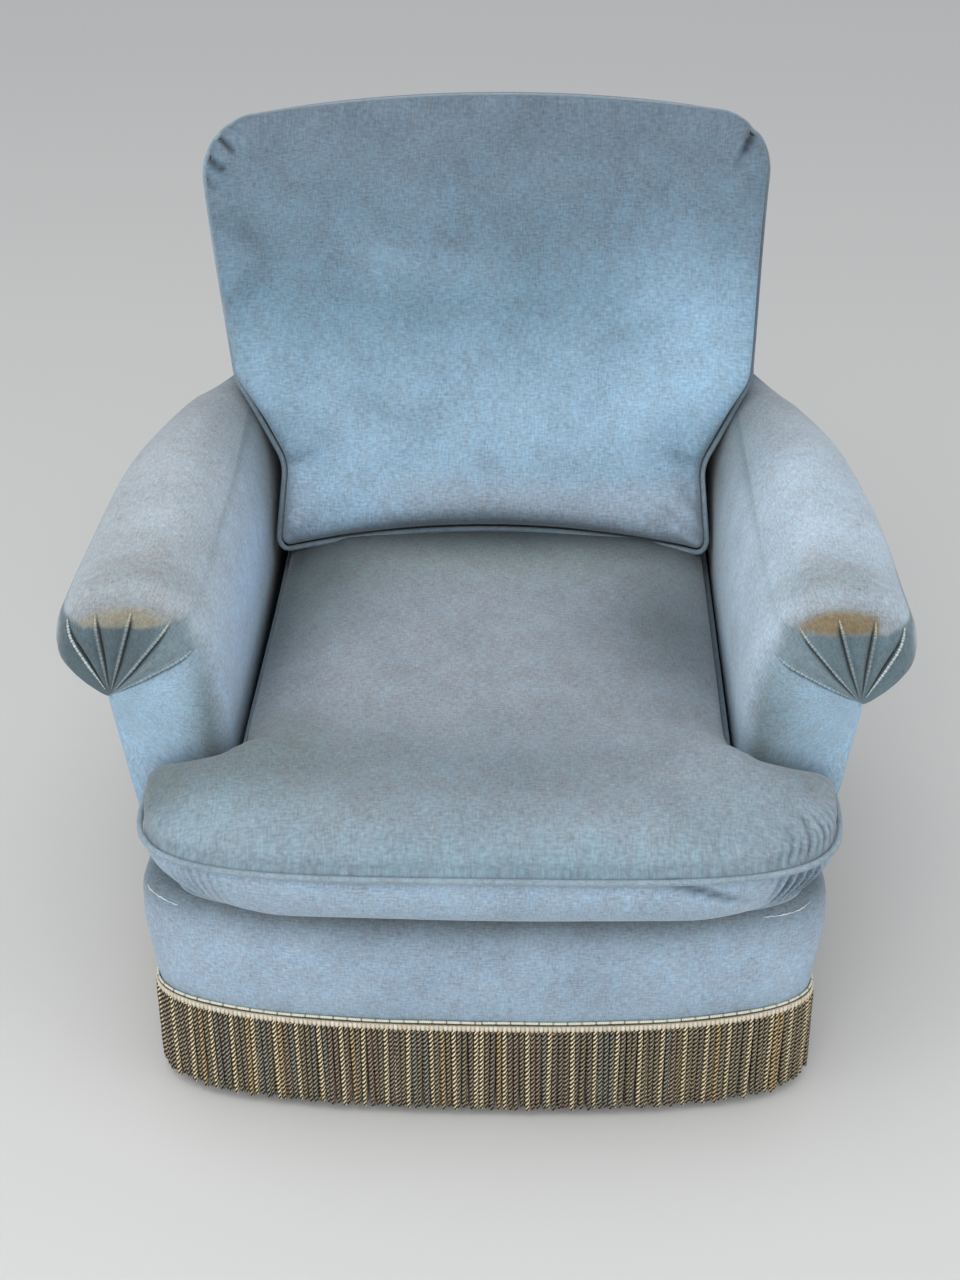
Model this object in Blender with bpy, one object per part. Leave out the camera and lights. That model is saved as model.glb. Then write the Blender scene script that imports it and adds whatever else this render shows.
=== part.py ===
"""An old armchair. A beech frame stands on four short legs and carries webbing, coil springs
and a padded platform. Scroll arms with fan pleated fronts flank two loose boxed cushions, and
a bullion fringe hangs round the base.

Metres, +Z up. The chair faces -Y. Its origin is on the floor, under the middle of its box.
"""

import math

import bmesh
import bpy
from mathutils import Matrix, Vector

# ---- Driving dimensions ----

GAP = 0.0003  # left between two pieces that touch

# Base, in plan
BASE_HALF = 0.352  # half width behind the bowed front
BASE_REAR_HALF = 0.322  # half width at the back
BOW_DEPTH = 0.080  # the front bow's depth, from its ends to its middle
BOW_POWER = 2.5  # superellipse power: round corners, nearly flat middle
BOW_END_Y = -0.3575  # where the bow meets the straight sides
BASE_REAR_Y = 0.2892  # rear face at the foot of the outside back
BASE_FLARE = 0.007  # how much wider the front band is at its top, each side

# Heights
RAIL_BOTTOM = 0.135
RAIL_TOP = 0.235
FABRIC_BOTTOM = 0.1285  # lower edge of every outer cover
SEAT_LEVEL = 0.2805  # top of the front border and of the platform
ARM_FOOT = 0.290
ARM_RAIL_TOP = 0.4517
BACK_TOP = 0.790
BACK_FRAME_TOP = 0.738  # the wood stays inside the rounded top corners

# Legs
GLIDE_RADIUS = 0.012
GLIDE_HEIGHT = 0.006
LEG_FOOT = 0.030  # square section at the foot
LEG_HEAD = 0.048  # square section at the rail
LEG_X = 0.283
LEG_FRONT_Y = -0.345
LEG_REAR_Y = 0.238

# Frame
BORDER_THICK = 0.0162
FRONT_RAIL_THICK = 0.040
FRONT_RAIL_END_Y = -0.335
SIDE_RAIL_THICK = 0.055
BACK_RAIL_THICK = 0.0275
BACK_RAILS = (("lower_back_rail", 0.345, 0.390), ("top_back_rail", 0.688, BACK_FRAME_TOP))
TACKING_RAIL = (0.022, 0.2905, 0.3155)  # thickness and heights
BLOCK_TOP = 0.200
POST_INNER_X = 0.2885
ARM_POST_FRONT_Y = -0.2879
ARM_POST_DEPTH = 0.030
ARM_RAIL_HEIGHT = 0.030
BACK_POST_OUTER_X = 0.3153
BACK_POST_DEPTH = 0.0283
PANEL_THICK = 0.006  # cloth over hessian and thin wadding
BACK_PANEL_THICK = 0.0053

# Back: the padded front surface is upright below the bend and raked above it
BEND_Z = 0.340
BACK_Y_AT_BEND = 0.2553
RAKE = 0.36
LOWER_RAKE = 0.10
BACK_PAD = 0.020
BACK_HALF = 0.322
BACK_CORNER_RADIUS = 0.080

# Springs, webbing and the cloths over and under them
STRAP_WIDTH = 0.050
STRAP_THICK = 0.0013
LONG_STRAP_FRONT_Y = -0.405
LONG_STRAP_REAR_Y = 0.2672
CROSS_STRAP_HALF = 0.322
WEAVE_REACH = 0.034  # a woven strap is level this far either side of the one it crosses
SPRING_X = (-0.17, 0.0, 0.17)
SPRING_Y = (-0.27, -0.07, 0.13)
SPRING_RADIUS = 0.042
SPRING_WAIST = 0.028
SPRING_WIRE = 0.0019
SPRING_TURNS = 4
SPRING_TOP = 0.2610
SPRING_STEPS = 7  # points in each turn of the wire
HESSIAN_THICK = 0.0013
PLATFORM_REAR_Y = 0.262
PLATFORM_BORDER = 0.0525  # the front border's depth, behind which the platform starts
PLATFORM_SLOPE = 0.050  # width of the rise from the rails up to the springs' tops
PLATFORM_SOFT_EDGE = 0.012
DUST_HALF = 0.318
DUST_FRONT_Y = -0.385
DUST_THICK = 0.0012
DUST_NOTCH_GAP = 0.004  # cut clear of each leg

# Seat cushion
SEAT_FRONT_Y = -0.4675  # top seam at the middle of the front
SEAT_EAR_HALF = 0.3580
SEAT_SHIFT = 0.0060  # the ears sit a little to the right
SEAT_BOW_DEPTH = 0.140
SEAT_BOW_POWER = 4.0
SEAT_EAR_REAR_Y = -0.3125
SEAT_HALF = 0.2570  # between the arms
SEAT_REAR_Y = 0.2360
SEAT_BOTTOM = 0.2812
SEAT_LOWER_SEAM = 0.2852
SEAT_TUCK = 0.034  # the lower seam lies this far inside the upper one
SEAT_UPPER_SEAM = 0.3540
BOXING = (  # the side strip's rings: depth inside the upper seam, height, fold depth
    (SEAT_TUCK + 0.0022, 0.2893, 0.0),
    (0.0200, 0.2930, 0.0008),
    (0.0030, 0.3130, 0.0020),
    (-0.0020, 0.3360, 0.0022),
)
SEAT_PUFF = 0.046  # rise of the top panel over its seam
SEAT_PUFF_REACH = 0.045
SEAT_DOME = 0.007
GATHER_RIGHT_X = (0.27, 0.31)  # the gathers grow over this width at the right corner
GATHER_LEFT_X = (0.29, 0.32)
GATHER_Y = (0.350, 0.375)  # and over this depth, ahead of the arms
GATHER_LEFT_SHARE = 0.4  # the left corner's gathers are slighter
TOP_FOLD = 0.0035

# Back cushion, its outline measured as x and z on the front seam's plane
CUSHION_FRONT_Y = 0.1025  # front seam at CUSHION_LEVEL
CUSHION_LEVEL = 0.400
CUSHION_LEAN = 0.55
CUSHION_REAR_GAP = 0.004
CUSHION_TOP_BOW = 0.022
CUSHION_BOTTOM_BOW = 0.024
CUSHION_SLOUCH = 0.012  # the top has sunk this far towards the left
CUSHION_PUFF = 0.046
CUSHION_PUFF_REACH = 0.055
CORNER_GATHER = 0.003
DART_DEPTH = 0.008
DART_PLACE = (0.321, 0.820)  # on the front seam, at the top right corner
DART_REACH = 0.012
PIPING_RADIUS = 0.0033
SEAM_INSET = 0.0045  # the covers' seam lies this far inside the piping's centre

# Arms: the roll's section at the front and where it dies into the back
ARM_FRONT_Y = -0.3005
ARM_STATIONS = (-0.30, 0.05, 0.20, 0.33)  # Y of the four sections that the roll follows
ARM_SECTION = dict(
    inner=(0.2680, 0.2635, 0.2625, 0.2625),
    top_x=(0.3500, 0.3420, 0.3220, 0.3000),
    top_z=(0.5760, 0.5770, 0.5590, 0.5300),
    out_x=(0.4435, 0.4110, 0.3670, 0.3300),
    out_z=(0.5100, 0.5150, 0.5050, 0.4900),
    fan_x=(0.3865, 0.3620, 0.3400, 0.3230),
    fan_z=(0.4550, 0.4570, 0.4600, 0.4630),
)
ARM_SHOULDER_Z = 0.435  # the inner face starts to roll over here
ARM_ROUND_DEPTH = 0.050  # how far back the rounded front edge reaches
ARM_ROUND_INSET = 0.032
PLEATS = 5
PLEAT_FIRST = 67.0  # degrees about the fan's point, outward 0 and up 90
PLEAT_LAST = 149.5
PLEAT_HEIGHT = 0.0045

# Fringe
HEADING_TOP = 0.1363
HEADING_HEIGHT = 0.0100
HEADING_THICK = 0.0030
FRINGE_BOTTOM = 0.0100
FRINGE_THICK = 0.0062
STRAND_RIDGE = 0.0012
STRANDS = 280

# Colours: red, green, blue, roughness
VELVET_BLUE = (0.270, 0.380, 0.480, 0.85)
VELVET_GREY = (0.330, 0.370, 0.430, 0.85)
VELVET_LIGHT = (0.340, 0.450, 0.560, 0.85)
PIPING_BLUE = (0.260, 0.360, 0.440, 0.80)
BEECH = (0.560, 0.380, 0.220, 0.60)
JUTE = (0.480, 0.370, 0.230, 0.95)
HESSIAN = (0.400, 0.300, 0.180, 0.95)
CALICO = (0.720, 0.690, 0.600, 0.95)
BLACK_CLOTH = (0.030, 0.030, 0.032, 0.95)
SPRING_STEEL = (0.360, 0.340, 0.320, 0.45)
GLIDE_STEEL = (0.550, 0.550, 0.540, 0.35)
FRINGE_OLIVE = (0.300, 0.280, 0.190, 0.80)
FRINGE_CREAM = (0.700, 0.650, 0.500, 0.85)


# ---- Helpers ----


def clear_scene():
    for item in list(bpy.data.objects):
        bpy.data.objects.remove(item, do_unlink=True)


def material(name, colour, metallic=0.0):
    made = bpy.data.materials.new(name)
    made.use_nodes = True
    shader = made.node_tree.nodes["Principled BSDF"]
    shader.inputs["Base Color"].default_value = (*colour[:3], 1.0)
    shader.inputs["Roughness"].default_value = colour[3]
    shader.inputs["Metallic"].default_value = metallic
    made.diffuse_color = (*colour[:3], 1.0)
    return made


def finish(bm, name, colour, metallic=0.0, sharp=40.0):
    """Turns a closed bmesh into a named, shaded object with its own material."""
    bmesh.ops.remove_doubles(bm, verts=bm.verts, dist=1e-6)
    bmesh.ops.dissolve_degenerate(bm, edges=bm.edges, dist=1e-7)
    bmesh.ops.recalc_face_normals(bm, faces=bm.faces)
    mesh = bpy.data.meshes.new(name)
    bm.to_mesh(mesh)
    bm.free()
    mesh.shade_smooth()
    mesh.set_sharp_from_angle(angle=math.radians(sharp))
    mesh.materials.append(material(name, colour, metallic))
    made = bpy.data.objects.new(name, mesh)
    bpy.context.scene.collection.objects.link(made)
    return made


def skin(rings, round_path=False, ends=True):
    """A bmesh through rings of equally many points. round_path joins the last ring to the first."""
    bm = bmesh.new()
    rows = [[bm.verts.new(point) for point in ring] for ring in rings]
    count = len(rows[0])
    pairs = list(zip(rows, rows[1:]))
    if round_path:
        pairs.append((rows[-1], rows[0]))
    for near, far in pairs:
        for i in range(count):
            j = (i + 1) % count
            bm.faces.new((near[i], near[j], far[j], far[i]))
    if ends and not round_path:
        bm.faces.new(rows[0])
        bm.faces.new(reversed(rows[-1]))
    return bm


def bar(name, start, end, colour, bevel=0.002):
    """A straight bar between two four-cornered ends, with softened edges."""
    made = finish(skin([start, end]), name, colour)
    if bevel:
        soften(made, bevel)
    return made


def soften(item, width):
    edge = item.modifiers.new("soft_edges", "BEVEL")
    edge.width = width
    edge.segments = 1
    edge.limit_method = "ANGLE"


def across(x0, x1, z0, z1, y):
    """The four corners of a bar's end that lies across the Y axis."""
    return [(x0, y, z0), (x1, y, z0), (x1, y, z1), (x0, y, z1)]


def level(x0, x1, y0, y1, z):
    """The four corners of a level bar end."""
    return [(x0, y0, z), (x1, y0, z), (x1, y1, z), (x0, y1, z)]


def upright(x, y0, y1, z0, z1):
    """The four corners of a bar's end that lies across the X axis."""
    return [(x, y0, z0), (x, y1, z0), (x, y1, z1), (x, y0, z1)]


def prism(name, plan, low, high, colour):
    """A flat plate or block: its plan outline drawn up from one height to another."""
    rings = [[(x, y, z) for x, y in plan] for z in (low, high)]
    return finish(skin(rings), name, colour)


def cut(item, cutter):
    """Takes the cutter's solid out of the item. The cutter stays as a hidden guide."""
    cutter.hide_render = True
    cutter.display_type = "WIRE"
    tool = item.modifiers.new("cut", "BOOLEAN")
    tool.operation = "DIFFERENCE"
    tool.solver = "EXACT"
    tool.object = cutter


def fillet(corners, step):
    """An open outline through the corners (x, y, radius), each rounded by an arc."""
    points = [corners[0][:2]]
    for before, (x, y, radius), after in zip(corners, corners[1:], corners[2:]):
        here = Vector((x, y))
        back = (Vector(before[:2]) - here).normalized()
        ahead = (Vector(after[:2]) - here).normalized()
        turn = back.angle(ahead)
        reach = radius / math.tan(turn / 2)
        centre = here + (back + ahead).normalized() * radius / math.sin(turn / 2)
        start = here + back * reach - centre
        sweep = start.angle_signed(here + ahead * reach - centre)
        count = max(2, math.ceil(abs(sweep) * radius / step))
        for i in range(count + 1):
            spoke = start.copy()
            spoke.rotate(Matrix.Rotation(-sweep * i / count, 2))
            points.append(tuple(centre + spoke))
    points.append(corners[-1][:2])
    return points


def bow(half, depth, power, end_y, count):
    """The right half of a bowed front in plan, from its middle out to its end."""
    points = []
    for i in range(count + 1):
        angle = math.pi / 2 * (1 - i / count)
        x = half * math.cos(angle) ** (2 / power) if i else 0.0
        points.append((x, end_y - depth * math.sin(angle) ** (2 / power)))
    return points


def spread(path, spacing):
    """The open path with its points set afresh, spacing(x, y) apart."""
    places = [path[0]]
    left = spacing(*path[0])
    for (x0, y0), (x1, y1) in zip(path, path[1:]):
        length = math.hypot(x1 - x0, y1 - y0)
        gone = 0.0
        while length - gone > left:
            gone += left
            part = gone / length
            point = (x0 + (x1 - x0) * part, y0 + (y1 - y0) * part)
            places.append(point)
            left = spacing(*point)
        left -= length - gone
    if math.dist(places[-1], path[-1]) < 0.4 * spacing(*path[-1]):
        places.pop()
    return places + [path[-1]]


def both_sides(half):
    """A closed outline from its right half, whose two ends lie on the middle line."""
    return half + [(-x, y) for x, y in reversed(half[1:-1])]


def outward(loop):
    """The outward unit normal at each point of a closed counterclockwise outline."""
    normals = []
    for i, _ in enumerate(loop):
        before = Vector(loop[i - 1])
        after = Vector(loop[(i + 1) % len(loop)])
        along = (after - before).normalized()
        normals.append(Vector((along.y, -along.x)))
    return normals


def inset(loop, distance):
    return [
        (x - normal.x * distance, y - normal.y * distance)
        for (x, y), normal in zip(loop, outward(loop))
    ]


def edge_distance(x, y, loop):
    """The distance from a point to the nearest side of a closed outline."""
    here = Vector((x, y))
    nearest = 1.0
    for i, corner in enumerate(loop):
        start = Vector(corner)
        side = Vector(loop[(i + 1) % len(loop)]) - start
        part = min(1.0, max(0.0, (here - start).dot(side) / max(side.length_squared, 1e-12)))
        nearest = min(nearest, (here - start - side * part).length)
    return nearest


def smooth_step(low, high, value):
    part = min(1.0, max(0.0, (value - low) / (high - low)))
    return part * part * (3 - 2 * part)


def mix(a, b, part):
    return a + (b - a) * part


# ---- Shared surfaces ----


def side_half(y):
    """Half width of the base in plan, along its straight sides."""
    part = min(1.0, (y - BOW_END_Y) / (BASE_REAR_Y - BOW_END_Y))
    return mix(BASE_HALF, BASE_REAR_HALF, part)


def base_outline(depth_in, count=13, corner=0.003):
    """The base in plan, drawn in by depth_in: bowed front, sides that close in to the back."""
    front = bow(BASE_HALF - depth_in, BOW_DEPTH - depth_in, BOW_POWER, BOW_END_Y, count)
    rear_half = BASE_REAR_HALF - depth_in
    rear_y = BASE_REAR_Y - depth_in
    corners = [front[-1] + (0,), (rear_half, rear_y, corner), (0.0, rear_y, 0)]
    return both_sides(front + fillet(corners, 0.004)[1:])


def front_strip(depth_in, end_y, count=13):
    """The bowed front from end_y on the right round to end_y on the left, drawn in by depth_in."""
    half = bow(BASE_HALF - depth_in, BOW_DEPTH - depth_in, BOW_POWER, BOW_END_Y, count)
    half.append((side_half(end_y) - depth_in, end_y))
    return [(x, y) for x, y in reversed(half)] + [(-x, y) for x, y in half[1:]]


def back_surface(z):
    """Y of the padded front surface of the back at a height."""
    return BACK_Y_AT_BEND + (z - BEND_Z) * (RAKE if z > BEND_Z else LOWER_RAKE)


def post_front(z):
    return back_surface(z) + BACK_PAD


def post_rear(z):
    return post_front(z) + BACK_POST_DEPTH


def side_surface(y, z):
    """X of the outside arm cover: it leans outward at the front and is upright at the back."""
    part = min(1.0, (y - BOW_END_Y) / (BASE_REAR_Y - BOW_END_Y))
    lean = (ARM_SECTION["fan_x"][0] - BASE_HALF) / (ARM_SECTION["fan_z"][0] - HEADING_TOP)
    return side_half(y) + lean * (z - HEADING_TOP) * (1 - part)


# ---- Legs and frame ----


def leg(side, end):
    x = side * LEG_X
    y = LEG_FRONT_Y if end == "front" else LEG_REAR_Y
    name = f"{'right' if side > 0 else 'left'}_{end}"
    foot = LEG_FOOT / 2
    head = LEG_HEAD / 2
    low = level(x - foot, x + foot, y - foot, y + foot, GLIDE_HEIGHT + GAP)
    high = level(x - head, x + head, y - head, y + head, RAIL_BOTTOM - GAP)
    bar(f"{name}_leg", low, high, BEECH)
    bm = bmesh.new()
    bmesh.ops.create_cone(
        bm, cap_ends=True, segments=16, radius1=GLIDE_RADIUS * 0.8, radius2=GLIDE_RADIUS,
        depth=GLIDE_HEIGHT,
    )
    bmesh.ops.translate(bm, vec=(x, y, GLIDE_HEIGHT / 2), verts=bm.verts)
    finish(bm, f"{name}_glide", GLIDE_STEEL, 1.0)


def front_rail():
    """A bowed beech rail, sawn to the curve of the base."""
    outer = front_strip(BORDER_THICK + GAP, FRONT_RAIL_END_Y)
    inner = front_strip(BORDER_THICK + FRONT_RAIL_THICK, FRONT_RAIL_END_Y)
    rings = [
        [(*a, RAIL_BOTTOM), (*b, RAIL_BOTTOM), (*b, RAIL_TOP), (*a, RAIL_TOP)]
        for a, b in zip(outer, inner)
    ]
    finish(skin(rings), "front_seat_rail", BEECH, sharp=30)


def side_rail(side, name):
    def end(x_out, y):
        xs = sorted((side * x_out, side * (x_out - SIDE_RAIL_THICK)))
        return across(*xs, RAIL_BOTTOM, RAIL_TOP, y)

    front_out = side_half(FRONT_RAIL_END_Y) - BORDER_THICK - 0.001
    rear_y = post_front(RAIL_BOTTOM) - GAP
    bar(name, end(front_out, FRONT_RAIL_END_Y + GAP), end(BACK_POST_OUTER_X, rear_y), BEECH)


def back_rails():
    half = POST_INNER_X - GAP
    y0 = post_front(RAIL_BOTTOM)
    y1 = y0 + BACK_RAIL_THICK
    ends = [upright(x, y0, y1, RAIL_BOTTOM, RAIL_TOP) for x in (-half, half)]
    bar("back_seat_rail", *ends, BEECH)
    for name, low, high in BACK_RAILS:
        ends = []
        for x in (-half, half):
            ends.append([
                (x, post_front(low), low), (x, post_rear(low) - 0.004, low),
                (x, post_rear(high) - 0.004, high), (x, post_front(high), high),
            ])
        bar(name, *ends, BEECH)


def back_post(side, name):
    """Upright to the bend, then raked."""
    xs = sorted((side * POST_INNER_X, side * BACK_POST_OUTER_X))
    rings = [
        level(*xs, post_front(z), post_rear(z), z) for z in (RAIL_BOTTOM, BEND_Z, BACK_FRAME_TOP)
    ]
    soften(finish(skin(rings), name, BEECH), 0.002)


def arm_frame(side, word):
    """The front post, the arm rail over it and the tacking rail that the seat cover tucks under."""
    y0 = ARM_POST_FRONT_Y
    y1 = y0 + ARM_POST_DEPTH

    def outer(y, z):
        return side_surface(y, z) - PANEL_THICK - 0.0015

    def span(inner_x, outer_x):
        return sorted((side * inner_x, side * outer_x))

    rail_low = ARM_RAIL_TOP - ARM_RAIL_HEIGHT
    low = level(*span(POST_INNER_X, outer(y1, RAIL_TOP)), y0, y1, RAIL_TOP + GAP)
    high = level(*span(POST_INNER_X, outer(y1, rail_low)), y0, y1, rail_low - GAP)
    bar(f"{word}_front_post", low, high, BEECH)
    ends = []
    for y in (y0, post_front(rail_low) - GAP):
        xs = span(POST_INNER_X, outer(y, rail_low) - 0.002)
        ends.append(across(*xs, rail_low, ARM_RAIL_TOP, y))
    bar(f"{word}_arm_rail", *ends, BEECH)
    thick, bottom, top = TACKING_RAIL
    ends = []
    for y in (y1 + GAP, post_front(bottom) - GAP):
        ends.append(across(*span(POST_INNER_X, POST_INNER_X + thick), bottom, top, y))
    bar(f"{word}_tacking_rail", *ends, BEECH)


def corner_block(side, end, name):
    """A glued block across the corner, which the leg is screwed up into."""
    if end == "front":
        inner = front_strip(BORDER_THICK + FRONT_RAIL_THICK + GAP, FRONT_RAIL_END_Y)
        curve = [(x, y) for x, y in inner if 0.205 < x and y < -0.34]
        side_x = BASE_HALF - BORDER_THICK - SIDE_RAIL_THICK - 0.005
        plan = [(side_x, curve[0][1]), (side_x, -0.270), (side_x - 0.012, -0.270)]
        curve = [(min(x, side_x - 0.001), y) for x, y in curve]
        plan += [(curve[-1][0], curve[-1][1] + 0.014)] + curve[::-1]
    else:
        x1 = BACK_POST_OUTER_X - SIDE_RAIL_THICK - GAP
        y1 = post_front(RAIL_BOTTOM) - GAP
        plan = [(x1, y1), (x1 - 0.075, y1), (x1 - 0.075, y1 - 0.014), (x1 - 0.012, y1 - 0.080),
                (x1, y1 - 0.080)]
    plan = [(side * x, y) for x, y in plan]
    prism(name, plan, RAIL_BOTTOM, BLOCK_TOP, BEECH)


# ---- Seat suspension ----


def strap(name, run, across_places=(), over_first=True):
    """A jute strap tacked under the rails. It passes over and under those that it crosses."""
    start, end, place, along_x = run
    flat = RAIL_BOTTOM - GAP - STRAP_THICK
    lift = STRAP_THICK + GAP
    stations = [(start, 0.0)]
    over = over_first
    for middle in across_places:
        shift = lift if over else -lift
        stations += [(middle - WEAVE_REACH, shift), (middle + WEAVE_REACH, shift)]
        over = not over
    if across_places:
        stations.insert(1, (start + 2 * WEAVE_REACH, 0.0))
        stations.append((end - 2 * WEAVE_REACH, 0.0))
    stations.append((end, 0.0))
    rings = []
    for at, shift in stations:
        low = flat + shift
        corners = [(-0.5, low), (0.5, low), (0.5, low + STRAP_THICK), (-0.5, low + STRAP_THICK)]
        if along_x:
            rings.append([(at, place + part * STRAP_WIDTH, z) for part, z in corners])
        else:
            rings.append([(place + part * STRAP_WIDTH, at, z) for part, z in corners])
    finish(skin(rings), name, JUTE)


def webbing():
    for i, x in enumerate(SPRING_X):
        strap(f"long_strap_{i + 1}", (LONG_STRAP_FRONT_Y, LONG_STRAP_REAR_Y, x, False))
    for i, y in enumerate(SPRING_Y):
        run = (-CROSS_STRAP_HALF, CROSS_STRAP_HALF, y, True)
        strap(f"cross_strap_{i + 1}", run, SPRING_X, i % 2 == 0)


def spring(name, x, y, low):
    """An hourglass coil of round wire, closed at both ends of the wire."""
    sides = 4
    count = SPRING_TURNS * SPRING_STEPS
    bottom = low + SPRING_WIRE + GAP
    top = SPRING_TOP - SPRING_WIRE
    rings = []
    for i in range(count + 1):
        part = i / count
        turn = 2 * math.pi * i / SPRING_STEPS
        waist = math.sin(math.pi * part)
        radius = SPRING_RADIUS - (SPRING_RADIUS - SPRING_WAIST) * waist
        rise = mix(bottom, top, smooth_step(0.0, 1.0, part) * 0.35 + part * 0.65)
        out = Vector((math.cos(turn), math.sin(turn), 0.0))
        centre = Vector((x, y, rise)) + out * radius
        ring = []
        for k in range(sides):
            angle = 2 * math.pi * k / sides
            ring.append(centre + out * SPRING_WIRE * math.cos(angle)
                        + Vector((0, 0, SPRING_WIRE * math.sin(angle))))
        rings.append(ring)
    finish(skin(rings), name, SPRING_STEEL, 1.0, sharp=80)


def springs():
    number = 1
    for j, y in enumerate(SPRING_Y):
        for i, x in enumerate(SPRING_X):
            over = (i + j) % 2 == 0
            low = RAIL_BOTTOM + (STRAP_THICK if over else -GAP)
            spring(f"spring_{number}", x, y, low)
            number += 1


def platform_plan(margin=0.0):
    """The seat's middle in plan: between the arms, and as far forward as the front border."""
    half = POST_INNER_X - 6 * GAP - margin
    depth = BOW_DEPTH - PLATFORM_BORDER
    front = bow(half, depth - margin / 2, BOW_POWER, BOW_END_Y, 8)
    rear_y = PLATFORM_REAR_Y - margin
    return both_sides(front + [(half, rear_y), (0.0, rear_y)])


def hessian():
    """Coarse cloth over the springs, tacked on top of the rails."""
    edge = platform_plan()
    flat = platform_plan(PLATFORM_SLOPE)
    low = RAIL_TOP + GAP
    high = SPRING_TOP + GAP
    rings = [
        [(x, y, high) for x, y in flat], [(x, y, low) for x, y in edge],
        [(x, y, low + HESSIAN_THICK) for x, y in edge],
        [(x, y, high + HESSIAN_THICK) for x, y in flat],
    ]
    finish(skin(rings), "spring_hessian", HESSIAN)


def platform():
    """Stuffing under calico, shaped by the hessian below and level with the front border."""
    edge = platform_plan()
    flat = platform_plan(PLATFORM_SLOPE)
    soft = platform_plan(PLATFORM_SOFT_EDGE)
    lift = HESSIAN_THICK + 2 * GAP
    low = RAIL_TOP + lift
    high = SPRING_TOP + lift
    rings = [
        [(x, y, SEAT_LEVEL) for x, y in soft], [(x, y, SEAT_LEVEL - 0.010) for x, y in edge],
        [(x, y, low) for x, y in edge], [(x, y, high) for x, y in flat],
    ]
    finish(skin(rings), "seat_platform", CALICO)


def dust_cover():
    """Black cloth under the webbing, cut out round the legs."""
    clear = LEG_HEAD / 2 + DUST_NOTCH_GAP
    notch_x = LEG_X - clear
    front_notch = LEG_FRONT_Y + clear
    rear_notch = LEG_REAR_Y - clear
    right = [
        (0.0, DUST_FRONT_Y - 0.020), (notch_x, DUST_FRONT_Y), (notch_x, front_notch),
        (DUST_HALF, front_notch), (DUST_HALF, rear_notch), (notch_x, rear_notch),
        (notch_x, PLATFORM_REAR_Y), (0.0, PLATFORM_REAR_Y),
    ]
    top = RAIL_BOTTOM - 2 * (STRAP_THICK + GAP) - 2 * GAP
    prism("dust_cover", both_sides(right), top - DUST_THICK, top, BLACK_CLOTH)


# ---- Fixed upholstery ----


def front_border():
    """The padded band below the cushion: down the front rail and back over its top."""
    section = [
        (0.0030, FABRIC_BOTTOM), (0.0000, 0.145), (-0.0012, 0.205), (0.0000, 0.258),
        (0.0040, 0.272), (0.0130, SEAT_LEVEL - 0.001), (0.0300, SEAT_LEVEL),
        (0.0520, SEAT_LEVEL - 0.001), (0.0520, RAIL_TOP + GAP), (BORDER_THICK, RAIL_TOP + GAP),
        (BORDER_THICK, FABRIC_BOTTOM),
    ]
    end_y = ARM_FRONT_Y - 0.0007
    strips = [front_strip(depth, end_y) for depth, _ in section]
    rings = []
    for i in range(len(strips[0])):
        ring = []
        for strip, (depth_in, z) in zip(strips, section):
            flare = BASE_FLARE * smooth_step(HEADING_TOP, RAIL_TOP, z) * (depth_in < BORDER_THICK)
            ring.append((strip[i][0] * (1 + flare / BASE_HALF), strip[i][1], z))
        rings.append(ring)
    finish(skin(rings), "front_border", VELVET_LIGHT, sharp=60)


def outside_arm(side, name):
    """The flat outer cover from the roll down to the fringe."""
    forward = ARM_FRONT_Y - 0.0004
    step_z = ARM_FOOT - 0.0005
    top = ARM_RAIL_TOP
    edge = [(forward, FABRIC_BOTTOM), (forward, step_z), (ARM_POST_FRONT_Y, step_z),
            (ARM_POST_FRONT_Y, top)]
    rear = [(post_rear(top), top), (post_rear(BEND_Z), BEND_Z),
            (post_rear(FABRIC_BOTTOM), FABRIC_BOTTOM)]
    stations = (-0.15, 0.0, 0.15)
    outline = edge + [(y, top) for y in stations] + rear
    outline += [(y, FABRIC_BOTTOM) for y in reversed(stations)]
    rings = []
    for depth_in in (PANEL_THICK, 0.0):
        rings.append([(side * (side_surface(y, z) - depth_in), y, z) for y, z in outline])
    finish(skin(rings), name, VELVET_LIGHT)


def along_arm(values, y):
    """A smooth curve through one size's four values, read at y."""
    slopes = [
        (b - a) / (q - p)
        for a, b, p, q in zip(values, values[1:], ARM_STATIONS, ARM_STATIONS[1:])
    ]
    tangents = [slopes[0]] + [(a + b) / 2 for a, b in zip(slopes, slopes[1:])] + [slopes[-1]]
    i = min(2, max(0, sum(y > station for station in ARM_STATIONS[1:])))
    width = ARM_STATIONS[i + 1] - ARM_STATIONS[i]
    t = min(1.0, max(0.0, (y - ARM_STATIONS[i]) / width))
    rise = tangents[i] * width * t * (1 - t) ** 2 - tangents[i + 1] * width * t * t * (1 - t)
    return mix(values[i], values[i + 1], t * t * (3 - 2 * t)) + rise


def arm_section(y):
    """The roll's driving sizes at one distance back along the arm."""
    return {key: along_arm(values, y) for key, values in ARM_SECTION.items()}


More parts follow.
